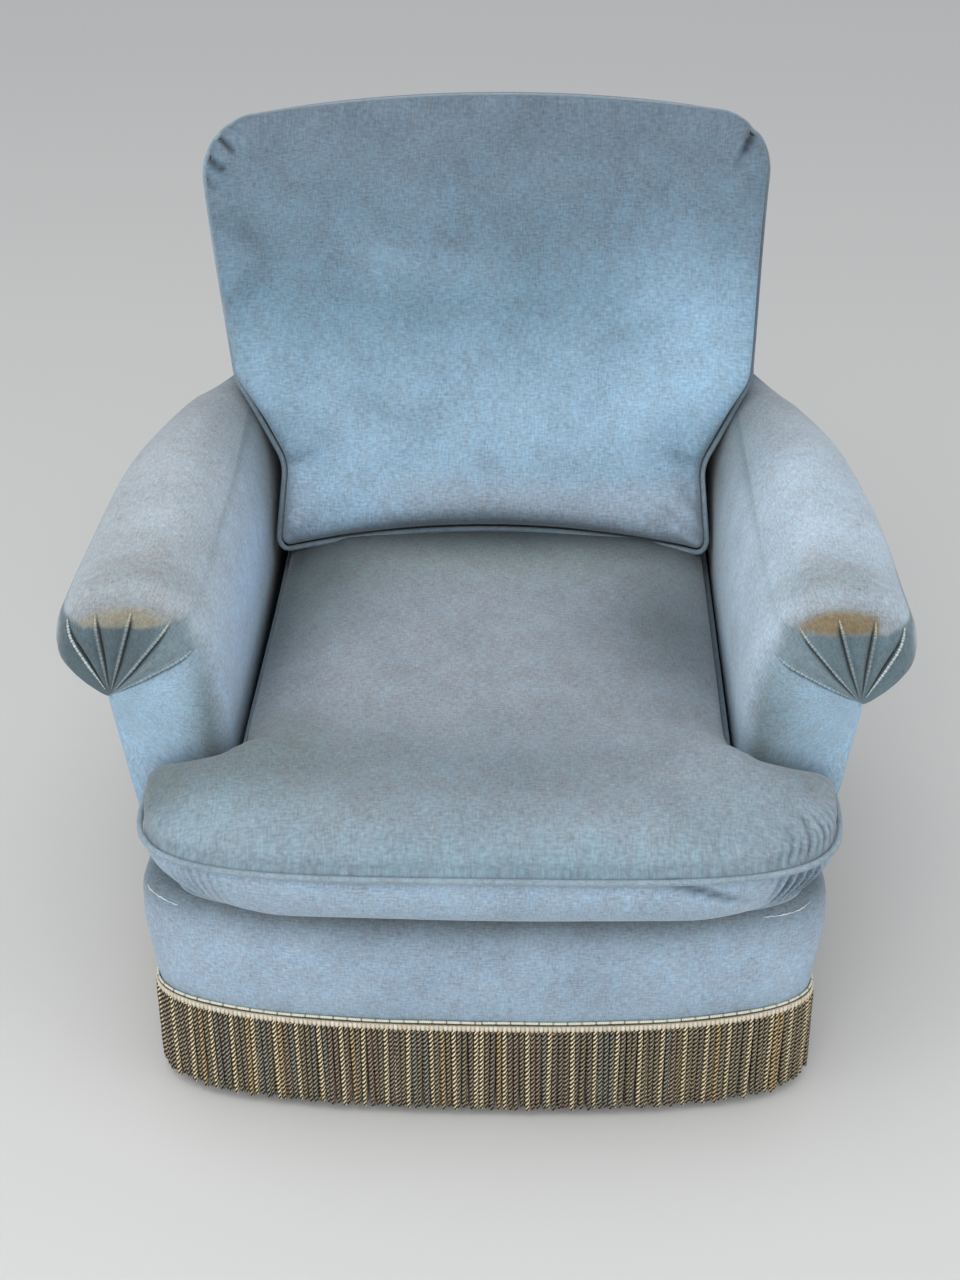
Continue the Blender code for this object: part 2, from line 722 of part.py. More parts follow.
def arm_profile(y, steps=8):
    """The arm's outline in x and z, from its inner foot over the roll to the fan's point."""
    size = arm_section(y)
    points = [(size["inner"], ARM_FOOT)]
    points.append((size["inner"] + 0.001, ARM_SHOULDER_Z))
    reach = size["top_x"] - size["inner"] - 0.001
    for i in range(1, steps + 1):
        angle = math.pi / 2 * i / steps
        x = size["top_x"] - reach * math.cos(angle)
        points.append((x, ARM_SHOULDER_Z + (size["top_z"] - ARM_SHOULDER_Z) * math.sin(angle)))
    reach = size["out_x"] - size["top_x"]
    for i in range(1, steps + 1):
        angle = math.pi / 2 * i / steps
        x = size["top_x"] + reach * math.sin(angle)
        points.append((x, size["out_z"] + (size["top_z"] - size["out_z"]) * math.cos(angle)))
    reach = size["out_x"] - size["fan_x"]
    for i in range(1, steps + 1):
        angle = math.pi / 2 * i / steps
        x = size["fan_x"] + reach * math.cos(angle)
        points.append((x, size["out_z"] - (size["out_z"] - size["fan_z"]) * math.sin(angle)))
    return points


def fan_angles():
    """Rays about the fan's point, in degrees: closer together at each pleat."""
    step = (PLEAT_LAST - PLEAT_FIRST) / (PLEATS - 1)
    rays = [12.0, 26.0, 40.0, 53.0]
    for i in range(PLEATS):
        crest = PLEAT_FIRST + i * step
        rays += [crest - 3.5, crest, crest + 3.5]
        if i < PLEATS - 1:
            rays.append(crest + step / 2)
    return rays + [163.0, 176.0, 190.0, 206.0, 222.0]


def pleat_rise(angle):
    """One at a pleat's crest, a little below zero in the valley beside it."""
    step = (PLEAT_LAST - PLEAT_FIRST) / (PLEATS - 1)
    nearest = min(abs(angle - PLEAT_FIRST - i * step) for i in range(PLEATS))
    if nearest > step * 0.6:
        return 0.0
    return 1.0 if nearest < 1.0 else (-0.35 if nearest < 5.0 else 0.15)


def arm_ring(y):
    """The section at y as (ray, x, z), from the inner foot to the fan's point and the outer foot."""
    size = arm_section(y)
    fan = (size["fan_x"], size["fan_z"])
    outline = arm_profile(y)
    rays = [
        math.degrees(math.atan2(z - fan[1], x - fan[0])) % 360 for x, z in outline[:-1]
    ]
    ring = [(rays[0], *outline[0])]
    for angle in reversed(fan_angles()):
        for i in range(len(rays) - 1):
            if rays[i + 1] <= angle < rays[i]:
                break
        else:
            i = len(rays) - 2
            if angle >= rays[0]:
                continue
        part = (rays[i] - angle) / (rays[i] - rays[i + 1])
        part = min(part, 1.0)
        ring.append((angle, mix(outline[i][0], outline[i + 1][0], part),
                     mix(outline[i][1], outline[i + 1][1], part)))
    ring.append((0.0, *fan))
    foot_x = side_surface(y, ARM_FOOT)
    ring.append((270.0, mix(fan[0], foot_x, 0.5), mix(fan[1], ARM_FOOT, 0.5)))
    ring.append((270.0, foot_x, ARM_FOOT))
    ring.append((250.0, mix(foot_x, size["inner"], 0.5), ARM_FOOT))
    return ring


def arm(side, name):
    """The upholstered arm: a scroll roll over the arm rail, an inner pad, and a facing over the
    front post whose cloth is gathered into five pleats that meet under the roll."""
    size = arm_section(ARM_FRONT_Y)
    fan = Vector((size["fan_x"], size["fan_z"]))
    rings = []
    front = arm_ring(ARM_FRONT_Y)
    for part in (0.12, 0.40, 0.70, 0.88):
        ring = []
        for angle, x, z in front:
            spoke = Vector((x, z)) - fan
            fixed = angle == 270.0 or spoke.length < 0.001
            length = spoke.length if fixed else spoke.length - ARM_ROUND_INSET
            point = fan + spoke.normalized() * max(length, 0.0) * part if spoke.length else fan
            rise = PLEAT_HEIGHT * pleat_rise(angle) * smooth_step(0.1, 0.7, part)
            ring.append((side * point.x, ARM_FRONT_Y - rise, point.y))
        rings.append(ring)
    for turn in (0.0, 25.0, 50.0, 72.0, 90.0):
        back = ARM_ROUND_DEPTH * (1 - math.cos(math.radians(turn)))
        y = ARM_FRONT_Y + back
        drawn = ARM_ROUND_INSET * (1 - math.sin(math.radians(turn)))
        ring = []
        for angle, x, z in arm_ring(y):
            spoke = Vector((x, z)) - fan
            fixed = angle == 270.0 or spoke.length < 0.03
            fade = math.cos(math.radians(turn)) ** 0.5 if turn < 90.0 else 0.0
            rise = PLEAT_HEIGHT * pleat_rise(angle) * fade
            length = spoke.length if fixed else spoke.length - drawn
            point = fan + spoke.normalized() * (length + rise * 0.7) if spoke.length else fan
            if z <= ARM_FOOT + 1e-6:
                point.y = ARM_FOOT
            ring.append((side * point.x, y - rise * 0.7, point.y))
        rings.append(ring)
    for ring in rings[:4]:
        for i, (x, y, z) in enumerate(ring):
            ring[i] = (x, y, max(z, ARM_FOOT))
    for y in (-0.18, -0.09, 0.01, 0.10, 0.17):
        rings.append([(side * x, y, z) for _, x, z in arm_ring(y)])
    last = []
    for _, x, z in arm_ring(0.33):
        last.append((side * x, BACK_Y_AT_BEND + RAKE * (z - BEND_Z) - 2 * GAP, z))
    rings.append(last)
    made = finish(skin(rings), name, VELVET_GREY, sharp=70)
    xs = sorted((side * (POST_INNER_X - GAP), side * 0.50))
    top = ARM_RAIL_TOP + GAP
    room = skin([across(*xs, 0.20, top, ARM_POST_FRONT_Y - GAP), across(*xs, 0.20, top, 0.60)])
    cut(made, finish(room, f"{name}_frame_space", CALICO))


def back_outline(half, top, foot_half, foot, shoulder):
    """The back seen from the front: narrow between the arms, full width above them."""
    corners = [(0.0, foot, 0), (foot_half, foot, 0.004), (foot_half, shoulder, 0.004),
               (half, shoulder, 0.004), (half, top, BACK_CORNER_RADIUS), (0.0, top, 0)]
    return both_sides(fillet(corners, 0.020))


def inside_back():
    """Padding over the front, sides and top of the back frame, open behind."""
    shoulder = ARM_RAIL_TOP + GAP
    foot_half = ARM_SECTION["inner"][-1] - 0.0008
    outline = back_outline(BACK_HALF, BACK_TOP, foot_half, ARM_FOOT, shoulder)
    soft = inset(outline, 0.006)
    rings = [
        [(x, back_surface(z), z) for x, z in soft],
        [(x, back_surface(z) + 0.006, z) for x, z in outline],
        [(x, post_rear(z), z) for x, z in outline],
    ]
    made = finish(skin(rings), "inside_back", VELVET_BLUE, sharp=50)
    half = BACK_POST_OUTER_X + GAP
    stations = (0.20, BEND_Z, BACK_FRAME_TOP + GAP)
    room = [
        level(-half, half, post_front(z) - GAP, post_rear(z) + 0.10, z) for z in stations
    ]
    cut(made, finish(skin(room), "back_frame_space", CALICO))


def outside_back():
    """The flat rear cover, from the top of the back down to the fringe."""
    top = BACK_TOP
    corners = [(0.0, FABRIC_BOTTOM, 0), (BASE_REAR_HALF, FABRIC_BOTTOM, 0.003),
               (BASE_REAR_HALF, top, BACK_CORNER_RADIUS), (0.0, top, 0)]
    half = fillet(corners, 0.020)
    bend = (BASE_REAR_HALF, BEND_Z)
    half.insert(next(i for i, (x, z) in enumerate(half) if z > BEND_Z), bend)
    outline = both_sides(half)
    rings = []
    for depth in (GAP, BACK_PANEL_THICK):
        rings.append([(x, post_rear(z) + depth, z) for x, z in outline])
    bm = skin(rings, ends=False)
    bm.verts.ensure_lookup_table()
    count = len(outline)
    right = half.index(bend)
    left = count - right
    for start in (0, count):
        face = bm.verts[start : start + count]
        bm.faces.new(face[: right + 1] + face[left:])
        bm.faces.new(face[right : left + 1])
    finish(bm, "outside_back", VELVET_BLUE)


# ---- Loose cushions ----


def seat_outline():
    """The T-shaped seat cushion's seam in plan."""
    front = bow(SEAT_EAR_HALF, SEAT_BOW_DEPTH, SEAT_BOW_POWER, SEAT_FRONT_Y + SEAT_BOW_DEPTH, 60)
    rest = fillet(
        [front[-1] + (0,), (SEAT_EAR_HALF, SEAT_EAR_REAR_Y, 0.020),
         (SEAT_HALF + 0.002, SEAT_EAR_REAR_Y, 0.030), (SEAT_HALF, SEAT_REAR_Y, 0.035),
         (0.0, SEAT_REAR_Y, 0)], 0.004,
    )

    def spacing(x, y):
        at_corner = x > 0.255 and y < -0.375
        at_ear = y < -0.24 and x > 0.24
        return 0.0105 if at_corner else (0.020 if at_ear else 0.042)

    return both_sides(spread(front + rest[1:], spacing))


def seat_point(x, y, z):
    """A point of the seat cushion, its ears pushed a little to the right."""
    return (x + SEAT_SHIFT * smooth_step(-0.25, -0.31, y), y, z)


def seat_top(x, y, outline):
    """Height of the seat cushion's puffed top panel over a place in plan."""
    reach = edge_distance(x, y, outline)
    puff = SEAT_PUFF * (1 - math.exp(-reach / SEAT_PUFF_REACH))
    dome = SEAT_DOME * max(0.0, 1 - (x / 0.30) ** 2) * smooth_step(0.0, 0.12, reach)
    return SEAT_UPPER_SEAM + puff + dome


def gather(i, x, y):
    """The pull of the cloth where it is gathered round a front corner: in and out by turns."""
    right = smooth_step(*GATHER_RIGHT_X, x)
    left = smooth_step(*GATHER_LEFT_X, -x) * GATHER_LEFT_SHARE
    return (right + left) * smooth_step(*GATHER_Y, -y) * (1 if i % 2 else -1)


def spine_place(x, y):
    """Where the top panel's rings shrink to, for a seam point at x and y."""
    if y < -0.33:
        return -0.350
    if abs(x) > SEAT_HALF and y < -0.20:
        return -0.245 - (abs(x) - SEAT_HALF)
    return min(max(y, -0.245), 0.110)


def seat_cushion():
    """A boxed cushion with ears in front of the arms, its top panel puffed and gathered."""
    outline = seat_outline()
    normals = outward(outline)
    seam = inset(outline, SEAM_INSET)
    rings = [[seat_point(x, y, SEAT_BOTTOM) for x, y in inset(outline, SEAT_TUCK + 0.016)]]
    lower = inset(outline, SEAT_TUCK + SEAM_INSET)
    rings.append([seat_point(x, y, SEAT_LOWER_SEAM) for x, y in lower])
    for depth_in, z, fold in BOXING:
        ring = []
        for i, ((x, y), normal) in enumerate(zip(outline, normals)):
            out = fold * gather(i, x, y) - depth_in
            ring.append(seat_point(x + normal.x * out, y + normal.y * out, z))
        rings.append(ring)
    rings.append([seat_point(x, y, SEAT_UPPER_SEAM) for x, y in seam])
    for part in (0.035, 0.10, 0.22, 0.42, 0.70, 1.0):
        ring = []
        for i, (x, y) in enumerate(seam):
            px = x * (1 - part)
            py = mix(y, spine_place(x, y), part)
            fold = TOP_FOLD * gather(i, x, y) * max(0.0, 1 - part / 0.25)
            ring.append(seat_point(px, py, seat_top(px, py, seam) + fold))
        rings.append(ring)
    bm = skin(rings, ends=False)
    bm.verts.ensure_lookup_table()
    bm.faces.new(bm.verts[: len(outline)])
    finish(bm, "seat_cushion", VELVET_GREY, sharp=60)


def cushion_outline():
    """The back cushion's front seam as x and z: narrow between the arms, wide above them."""
    corners = [(0.0, 0.391, 0), (0.2570, 0.391, 0.014), (0.2480, 0.482, 0.040),
               (0.3050, 0.570, 0.050), (0.3390, 0.8385, 0.055), (0.0, 0.8385, 0)]
    half = spread(fillet(corners, 0.006), lambda x, z: 0.024 if abs(x) > 0.2 else 0.050)
    bent = []
    for x, z in half:
        if z > 0.75:
            z += CUSHION_TOP_BOW * max(0.0, 1 - (x / 0.30) ** 2)
        elif z < 0.41:
            z += CUSHION_BOTTOM_BOW * max(0.0, 1 - (x / 0.25) ** 2)
        bent.append((x, z))
    return both_sides(bent)


def slouch(x, z):
    """The tired cushion's top leans a little to the left, where it has sunk."""
    part = smooth_step(0.50, 0.80, z)
    return x - CUSHION_SLOUCH * part, z + CUSHION_SLOUCH * x * part


def cushion_front(x, z):
    x, z = slouch(x, z)
    return Vector((x, CUSHION_FRONT_Y + CUSHION_LEAN * (z - CUSHION_LEVEL), z))


def cushion_rear(x, z):
    """The rear seam lies against the back, lower than the front seam at the top and bottom."""
    x, z = slouch(x, z)
    low = z - 0.030 * smooth_step(0.60, 0.85, z) - 0.014 * smooth_step(0.47, 0.40, z)
    return Vector((x * 0.985, back_surface(low) - CUSHION_REAR_GAP, low))


def corner_fold(i, x, z):
    """Small gathers at the top left corner and one deep dart at the top right one."""
    at_left = smooth_step(0.27, 0.30, -x) * smooth_step(0.77, 0.79, z)
    at_dart = math.dist((x, z), DART_PLACE) < DART_REACH
    return CORNER_GATHER * at_left * (1 if i % 2 else -1) - DART_DEPTH * at_dart


def back_cushion():
    """A boxed cushion, puffed in front and flat behind, shaped round the tops of the arms."""
    outline = cushion_outline()
    seat = inset(seat_outline(), SEAM_INSET)
    normals = outward(outline)
    seam = inset(outline, SEAM_INSET)
    face = Vector((0.0, -1.0, CUSHION_LEAN)).normalized()
    rings = [[tuple(cushion_rear(x, z) + Vector((0, 0.0030, 0))) for x, z in inset(outline, 0.018)]]
    rings.append([tuple(cushion_rear(x, z)) for x, z in seam])
    for part, bulge in ((0.70, 0.004), (0.35, 0.004)):
        ring = []
        for (x, z), normal in zip(outline, normals):
            point = cushion_front(x, z).lerp(cushion_rear(x, z), part)
            point += Vector((normal.x, 0.0, normal.y)) * bulge * smooth_step(0.55, 0.62, z)
            floor = seat_top(point.x, min(point.y, SEAT_REAR_Y - 0.002), seat) + 0.0015
            point.z = max(point.z, floor)
            ring.append(tuple(point))
        rings.append(ring)
    rings.append([tuple(cushion_front(x, z)) for x, z in seam])
    for part in (0.04, 0.11, 0.24, 0.45, 0.72, 1.0):
        ring = []
        for i, (x, z) in enumerate(seam):
            px = x * (1 - part)
            pz = mix(z, min(max(z, 0.50), 0.74), part)
            reach = edge_distance(px, pz, seam)
            puff = CUSHION_PUFF * (1 - math.exp(-reach / CUSHION_PUFF_REACH))
            puff += corner_fold(i, x, z) * max(0.0, 1 - part / 0.30)
            ring.append(tuple(cushion_front(px, pz) + face * puff))
        rings.append(ring)
    bm = skin(rings, ends=False)
    bm.verts.ensure_lookup_table()
    bm.faces.new(bm.verts[: len(outline)])
    finish(bm, "back_cushion", VELVET_BLUE, sharp=60)


def piping(name, path, sideways):
    """A covered cord along a closed seam. sideways points away from the cushion's middle."""
    sides = 4
    rings = []
    for i, point in enumerate(path):
        here = Vector(point)
        along = (Vector(path[(i + 1) % len(path)]) - Vector(path[i - 1])).normalized()
        out = (sideways[i] - along * sideways[i].dot(along)).normalized()
        up = along.cross(out)
        ring = []
        for k in range(sides):
            angle = 2 * math.pi * k / sides
            ring.append(here + (out * math.cos(angle) + up * math.sin(angle)) * PIPING_RADIUS)
        rings.append(ring)
    finish(skin(rings, round_path=True), name, PIPING_BLUE, sharp=80)


def all_piping():
    outline = seat_outline()
    sideways = [Vector((normal.x, normal.y, 0.0)) for normal in outward(outline)]
    piping("seat_piping_top", [seat_point(x, y, SEAT_UPPER_SEAM) for x, y in outline], sideways)
    lower = [seat_point(x, y, SEAT_LOWER_SEAM) for x, y in inset(outline, SEAT_TUCK)]
    piping("seat_piping_bottom", lower, sideways)
    outline = cushion_outline()
    sideways = [Vector((normal.x, 0.0, normal.y)) for normal in outward(outline)]
    piping("back_piping_front", [tuple(cushion_front(x, z)) for x, z in outline], sideways)
    piping("back_piping_rear", [tuple(cushion_rear(x, z)) for x, z in outline], sideways)


# ---- Fringe ----


def fringe_heading():
    """The woven band that the fringe hangs from."""
    inner = base_outline(-2 * GAP)
    outer = inset(inner, -HEADING_THICK)
    low = HEADING_TOP - HEADING_HEIGHT
    rings = [
        [(*a, low), (*b, low), (*b, HEADING_TOP), (*a, HEADING_TOP)]
        for a, b in zip(inner, outer)
    ]
    finish(skin(rings, round_path=True), "fringe_heading", FRINGE_CREAM)


def bullion_fringe():
    """The hanging cords, side by side all round: a thin wall that is ridged on its outer face."""
    middle = HEADING_THICK / 2 + GAP
    inner = base_outline(FRINGE_THICK / 2 - middle)
    smooth = base_outline(-middle - FRINGE_THICK / 2, count=24, corner=0.010)
    closed = smooth + smooth[:1]
    length = sum(math.dist(a, b) for a, b in zip(closed, closed[1:]))
    half_pitch = length / STRANDS / 2
    places = spread(closed, lambda x, y: half_pitch)[: STRANDS * 2]
    outer = []
    for i, ((x, y), normal) in enumerate(zip(places, outward(places))):
        out = STRAND_RIDGE / 2 if i % 2 else -STRAND_RIDGE / 2
        outer.append((x + normal.x * out, y + normal.y * out))
    low = FRINGE_BOTTOM
    high = HEADING_TOP - HEADING_HEIGHT - GAP
    bm = bmesh.new()
    edges = []
    for loop in (inner, outer):
        verts = [bm.verts.new((x, y, low)) for x, y in loop]
        edges += [bm.edges.new((verts[i - 1], verts[i])) for i in range(len(verts))]
    bmesh.ops.triangle_fill(bm, use_beauty=True, use_dissolve=False, edges=edges)
    drawn = bmesh.ops.extrude_face_region(bm, geom=list(bm.faces))
    raised = [item for item in drawn["geom"] if isinstance(item, bmesh.types.BMVert)]
    bmesh.ops.translate(bm, vec=(0, 0, high - low), verts=raised)
    finish(bm, "bullion_fringe", FRINGE_OLIVE, sharp=70)


# ---- The whole chair ----


def build():
    clear_scene()
    for side, word in ((1, "right"), (-1, "left")):
        for end in ("front", "rear"):
            leg(side, end)
            corner_block(side, end, f"{word}_{end}_block")
        side_rail(side, f"{word}_seat_rail")
        back_post(side, f"{word}_back_post")
        arm_frame(side, word)
        arm(side, f"{word}_arm")
        outside_arm(side, f"{word}_outside_arm")
    front_rail()
    back_rails()
    webbing()
    springs()
    hessian()
    platform()
    dust_cover()
    front_border()
    inside_back()
    outside_back()
    seat_cushion()
    back_cushion()
    all_piping()
    fringe_heading()
    bullion_fringe()


build()
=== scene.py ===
"""An old velvet armchair: its beech frame, springs, covers, loose cushions and fringe, in the
order in which an upholsterer would put them together. Metres, +Z up, the chair faces -Y."""

import math

import bpy
import numpy as np
from mathutils import Matrix, Vector
from mathutils.geometry import delaunay_2d_cdt


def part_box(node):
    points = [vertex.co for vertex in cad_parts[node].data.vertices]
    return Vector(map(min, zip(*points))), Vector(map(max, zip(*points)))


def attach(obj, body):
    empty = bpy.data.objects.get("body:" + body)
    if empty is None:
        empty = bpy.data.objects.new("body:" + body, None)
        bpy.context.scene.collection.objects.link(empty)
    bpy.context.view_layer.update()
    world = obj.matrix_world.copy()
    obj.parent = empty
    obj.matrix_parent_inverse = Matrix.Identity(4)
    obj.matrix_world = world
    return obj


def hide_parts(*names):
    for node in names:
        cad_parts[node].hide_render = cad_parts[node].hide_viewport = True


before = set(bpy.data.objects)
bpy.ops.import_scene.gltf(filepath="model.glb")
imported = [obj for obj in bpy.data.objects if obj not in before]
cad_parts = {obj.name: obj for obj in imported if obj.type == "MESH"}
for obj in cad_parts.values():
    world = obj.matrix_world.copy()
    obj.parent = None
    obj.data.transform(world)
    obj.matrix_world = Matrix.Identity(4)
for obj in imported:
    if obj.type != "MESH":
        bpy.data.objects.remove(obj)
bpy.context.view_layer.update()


# ---- The room ----
# A plain pale floor in a bright, soft studio: one wide lamp above and in front of the chair,
# weaker ones from both sides, and even light all round from the walls.

scene = bpy.context.scene
scene.view_settings.view_transform = "Standard"

CAMERA_AT = Vector((0.0472, -2.0596, 1.6994))
CAMERA_YAW = -0.0290
CAMERA_PITCH = 0.5870  # below level
CAMERA_ROLL = -0.0056
CAMERA_LENS = 59.25  # mm, for a frame 36 mm high

camera_data = bpy.data.cameras.new("camera")
camera_data.sensor_fit = "VERTICAL"
camera_data.sensor_height = 36.0
camera_data.lens = CAMERA_LENS
camera = bpy.data.objects.new("camera", camera_data)
scene.collection.objects.link(camera)
ahead = Vector((
    math.sin(CAMERA_YAW) * math.cos(CAMERA_PITCH),
    math.cos(CAMERA_YAW) * math.cos(CAMERA_PITCH),
    -math.sin(CAMERA_PITCH),
))
level_right = Vector((math.cos(CAMERA_YAW), -math.sin(CAMERA_YAW), 0.0))
level_up = level_right.cross(ahead)
right = math.cos(CAMERA_ROLL) * level_right + math.sin(CAMERA_ROLL) * level_up
up = right.cross(ahead)
turn = Matrix((right, up, -ahead)).transposed()
camera.matrix_world = Matrix.Translation(CAMERA_AT) @ turn.to_4x4()
scene.camera = camera


def node_tree(owner):
    owner.use_nodes = True
    owner.node_tree.nodes.clear()
    return owner.node_tree


def add_node(tree, kind, inputs=None, **settings):
    """A shader node with its settings and inputs. An input is a value or another node's socket."""
    node = tree.nodes.new(kind)
    for name, value in settings.items():
        setattr(node, name, value)
    for name, value in (inputs or {}).items():
        if isinstance(value, bpy.types.NodeSocket):
            tree.links.new(value, node.inputs[name])
        else:
            node.inputs[name].default_value = value
    return node


def lamp(name, place, target, width, depth, power, colour):
    data = bpy.data.lights.new(name, "AREA")
    data.shape = "RECTANGLE"
    data.size = width
    data.size_y = depth
    data.energy = power
    data.color = colour
    item = bpy.data.objects.new(name, data)
    item.location = place
    item.rotation_euler = (Vector(target) - Vector(place)).to_track_quat("-Z", "Y").to_euler()
    scene.collection.objects.link(item)


lamp("lamp_above", (-0.5, -0.9, 3.2), (0, 0, 0.4), 3.0, 2.6, 40, (1.0, 0.985, 0.96))
lamp("lamp_left", (-3.0, -1.8, 1.9), (0, 0, 0.4), 1.8, 1.8, 12, (0.95, 0.98, 1.0))
lamp("lamp_right", (2.8, -1.3, 2.0), (0, 0, 0.4), 1.8, 1.8, 13, (0.95, 0.98, 1.0))
lamp("lamp_front", (-0.4, -3.3, 1.5), (0, 0, 0.3), 2.4, 1.8, 30, (1.0, 0.99, 0.98))

world = bpy.data.worlds.new("studio")
scene.world = world
tree = node_tree(world)
path = add_node(tree, "ShaderNodeLightPath")
even = add_node(tree, "ShaderNodeBackground", {"Color": (0.93, 0.96, 1.0, 1), "Strength": 0.62})
white = add_node(tree, "ShaderNodeBackground", {"Color": (0.97, 0.97, 0.96, 1), "Strength": 1.0})
seen = add_node(tree, "ShaderNodeMixShader", {
    0: path.outputs["Is Camera Ray"], 1: even.outputs[0], 2: white.outputs[0],
})
add_node(tree, "ShaderNodeOutputWorld", {"Surface": seen.outputs[0]})

FLOOR_HALF = 9.0
floor_mesh = bpy.data.meshes.new("floor")
floor_corners = ((-1, -1), (1, -1), (1, 1), (-1, 1))
floor_mesh.from_pydata([(x * FLOOR_HALF, y * FLOOR_HALF, 0) for x, y in floor_corners], [],
                       [(0, 1, 2, 3)])
floor = bpy.data.objects.new("floor", floor_mesh)
scene.collection.objects.link(floor)
floor_paint = bpy.data.materials.new("pale_floor")
tree = node_tree(floor_paint)
paint = add_node(tree, "ShaderNodeBsdfPrincipled", {
    "Base Color": (0.66, 0.655, 0.64, 1), "Roughness": 0.9,
})
add_node(tree, "ShaderNodeOutputMaterial", {"Surface": paint.outputs[0]})
floor_mesh.materials.append(floor_paint)


# ---- Beech frame ----
# Rails, posts and blocks of steamed beech, planed, dowelled and glued. The legs are screwed up
# into the corner blocks and were waxed, so they are darker. The grain runs along each piece.


def new_material(name):
    """A material, its empty node tree and the socket of each point's place in the chair."""
    made = bpy.data.materials.new(name)
    tree = node_tree(made)
    return made, tree, add_node(tree, "ShaderNodeTexCoord").outputs["Object"]


def spanned(tree, value, low, high, first, last):
    """The socket of a value that runs from first to last while the given one goes from low to
    high, and stays there beyond."""
    span = add_node(tree, "ShaderNodeMapRange", {
        "Value": value, "From Min": low, "From Max": high, "To Min": first, "To Max": last,
    })
    return span.outputs[0]


def mixed_colour(tree, factor, first, second):
    """The socket of a mix of two colours, each a linear colour or another node's socket."""
    def ready(colour):
        return colour if isinstance(colour, bpy.types.NodeSocket) else (*colour, 1.0)

    node = add_node(tree, "ShaderNodeMix", {0: factor, 6: ready(first), 7: ready(second)},
                    data_type="RGBA")
    return node.outputs[2]


def stretched_noise(tree, place, size, detail=2.0, **more):
    """Noise on a place socket, with size cells to the metre each way."""
    spread = add_node(tree, "ShaderNodeMapping", {"Vector": place, "Scale": size})
    node = add_node(tree, "ShaderNodeTexNoise",
                    {"Vector": spread.outputs[0], "Scale": 1.0, "Detail": detail, **more})
    return node.outputs[0]


def finished(made, tree, colour, roughness, height=None, distance=0.0005, strength=0.3,
             others=None):
    """Ends a material: its colour, gloss and relief into one Principled shader."""
    sockets = {"Base Color": colour, "Roughness": roughness, **(others or {})}
    if height is not None:
        relief = add_node(tree, "ShaderNodeBump",
                          {"Height": height, "Strength": strength, "Distance": distance})
        sockets["Normal"] = relief.outputs[0]
    shader = add_node(tree, "ShaderNodeBsdfPrincipled", sockets)
    add_node(tree, "ShaderNodeOutputMaterial", {"Surface": shader.outputs[0]})
    return made


def beech(name, along, pale, dark, gloss):
    """Beech: long rings and short dark flecks along one axis of the chair."""
    made, tree, place = new_material(name)
    ring_size = [2.2 if axis == along else 38.0 for axis in "XYZ"]
    fleck_size = [60.0 if axis == along else 420.0 for axis in "XYZ"]
    rings = stretched_noise(tree, place, ring_size, 4.0, Distortion=0.6)
    fleck = stretched_noise(tree, place, fleck_size, 1.0)
    wood = mixed_colour(tree, rings, pale, dark)
    flecked = mixed_colour(tree, spanned(tree, fleck, 0.60, 0.74, 0.0, 0.5), wood,
                           tuple(0.55 * part for part in dark))
    return finished(made, tree, flecked, gloss, rings, 0.0006, 0.25)


BEECH_PALE = (0.52, 0.33, 0.18)
BEECH_DARK = (0.36, 0.20, 0.095)
LEG_PALE = (0.20, 0.095, 0.042)
LEG_DARK = (0.10, 0.045, 0.020)

wood_along = {axis: beech(f"beech_{axis.lower()}", axis, BEECH_PALE, BEECH_DARK, 0.62)
              for axis in "XYZ"}
leg_wood = beech("waxed_beech", "Z", LEG_PALE, LEG_DARK, 0.38)


def dress(node, material):
    """Gives a shown CAD node its finish."""
    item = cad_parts[node]
    item.data.materials.clear()
    item.data.materials.append(material)


for node in ("front_seat_rail", "back_seat_rail", "lower_back_rail", "top_back_rail"):
    dress(node, wood_along["X"])
for side in ("right", "left"):
    for part in ("seat_rail", "arm_rail", "tacking_rail"):
        dress(f"{side}_{part}", wood_along["Y"])
    for part in ("back_post", "front_post", "front_block", "rear_block"):
        dress(f"{side}_{part}", wood_along["Z"])
    for end in ("front", "rear"):
        dress(f"{side}_{end}_leg", leg_wood)


# ---- Glides ----
# A pressed steel dome nail under each leg, nickelled once and now dull and scuffed by floors.

glide_steel, tree, place = new_material("scuffed_nickel")
scuffs = stretched_noise(tree, place, (260.0, 900.0, 300.0), 3.0)
dulled = mixed_colour(tree, scuffs, (0.60, 0.59, 0.56), (0.34, 0.31, 0.27))
finished(glide_steel, tree, dulled, 0.42, scuffs, 0.0003, 0.4, {"Metallic": 1.0})
for side in ("right", "left"):
    for end in ("front", "rear"):
        dress(f"{side}_{end}_glide", glide_steel)


# ---- Webbing and springs ----
# Jute webbing, woven over and under and tacked below the rails, carries nine hourglass springs
# of coppered wire, sewn to the webbing where the straps cross.

THREAD_SCALE = 3.0 / 6.2832


def reckoned(tree, operation, *values):
    """The socket of a sum on numbers and sockets."""
    sums = add_node(tree, "ShaderNodeMath", dict(enumerate(values)), operation=operation)
    return sums.outputs[0]


def weave(name, size, pale, dark, relief=0.0006):
    """A plain weave: threads over and under each other, finer with a larger size."""
    made, tree, place = new_material(name)
    threads = []
    for axis in "XY":
        wave = add_node(tree, "ShaderNodeTexWave", {
            "Vector": place, "Scale": size * THREAD_SCALE, "Distortion": 0.6, "Detail": 1.0,
            "Detail Scale": 3.0,
        }, wave_type="BANDS", bands_direction=axis)
        threads.append(wave.outputs[1])
    over = reckoned(tree, "MAXIMUM", *threads)
    fluff = stretched_noise(tree, place, (size, size, size), 2.0)
    colour = mixed_colour(tree, over, dark, pale)
    uneven = mixed_colour(tree, fluff, colour, tuple(0.6 * part for part in pale))
    return finished(made, tree, uneven, 0.95, over, relief, 0.6)


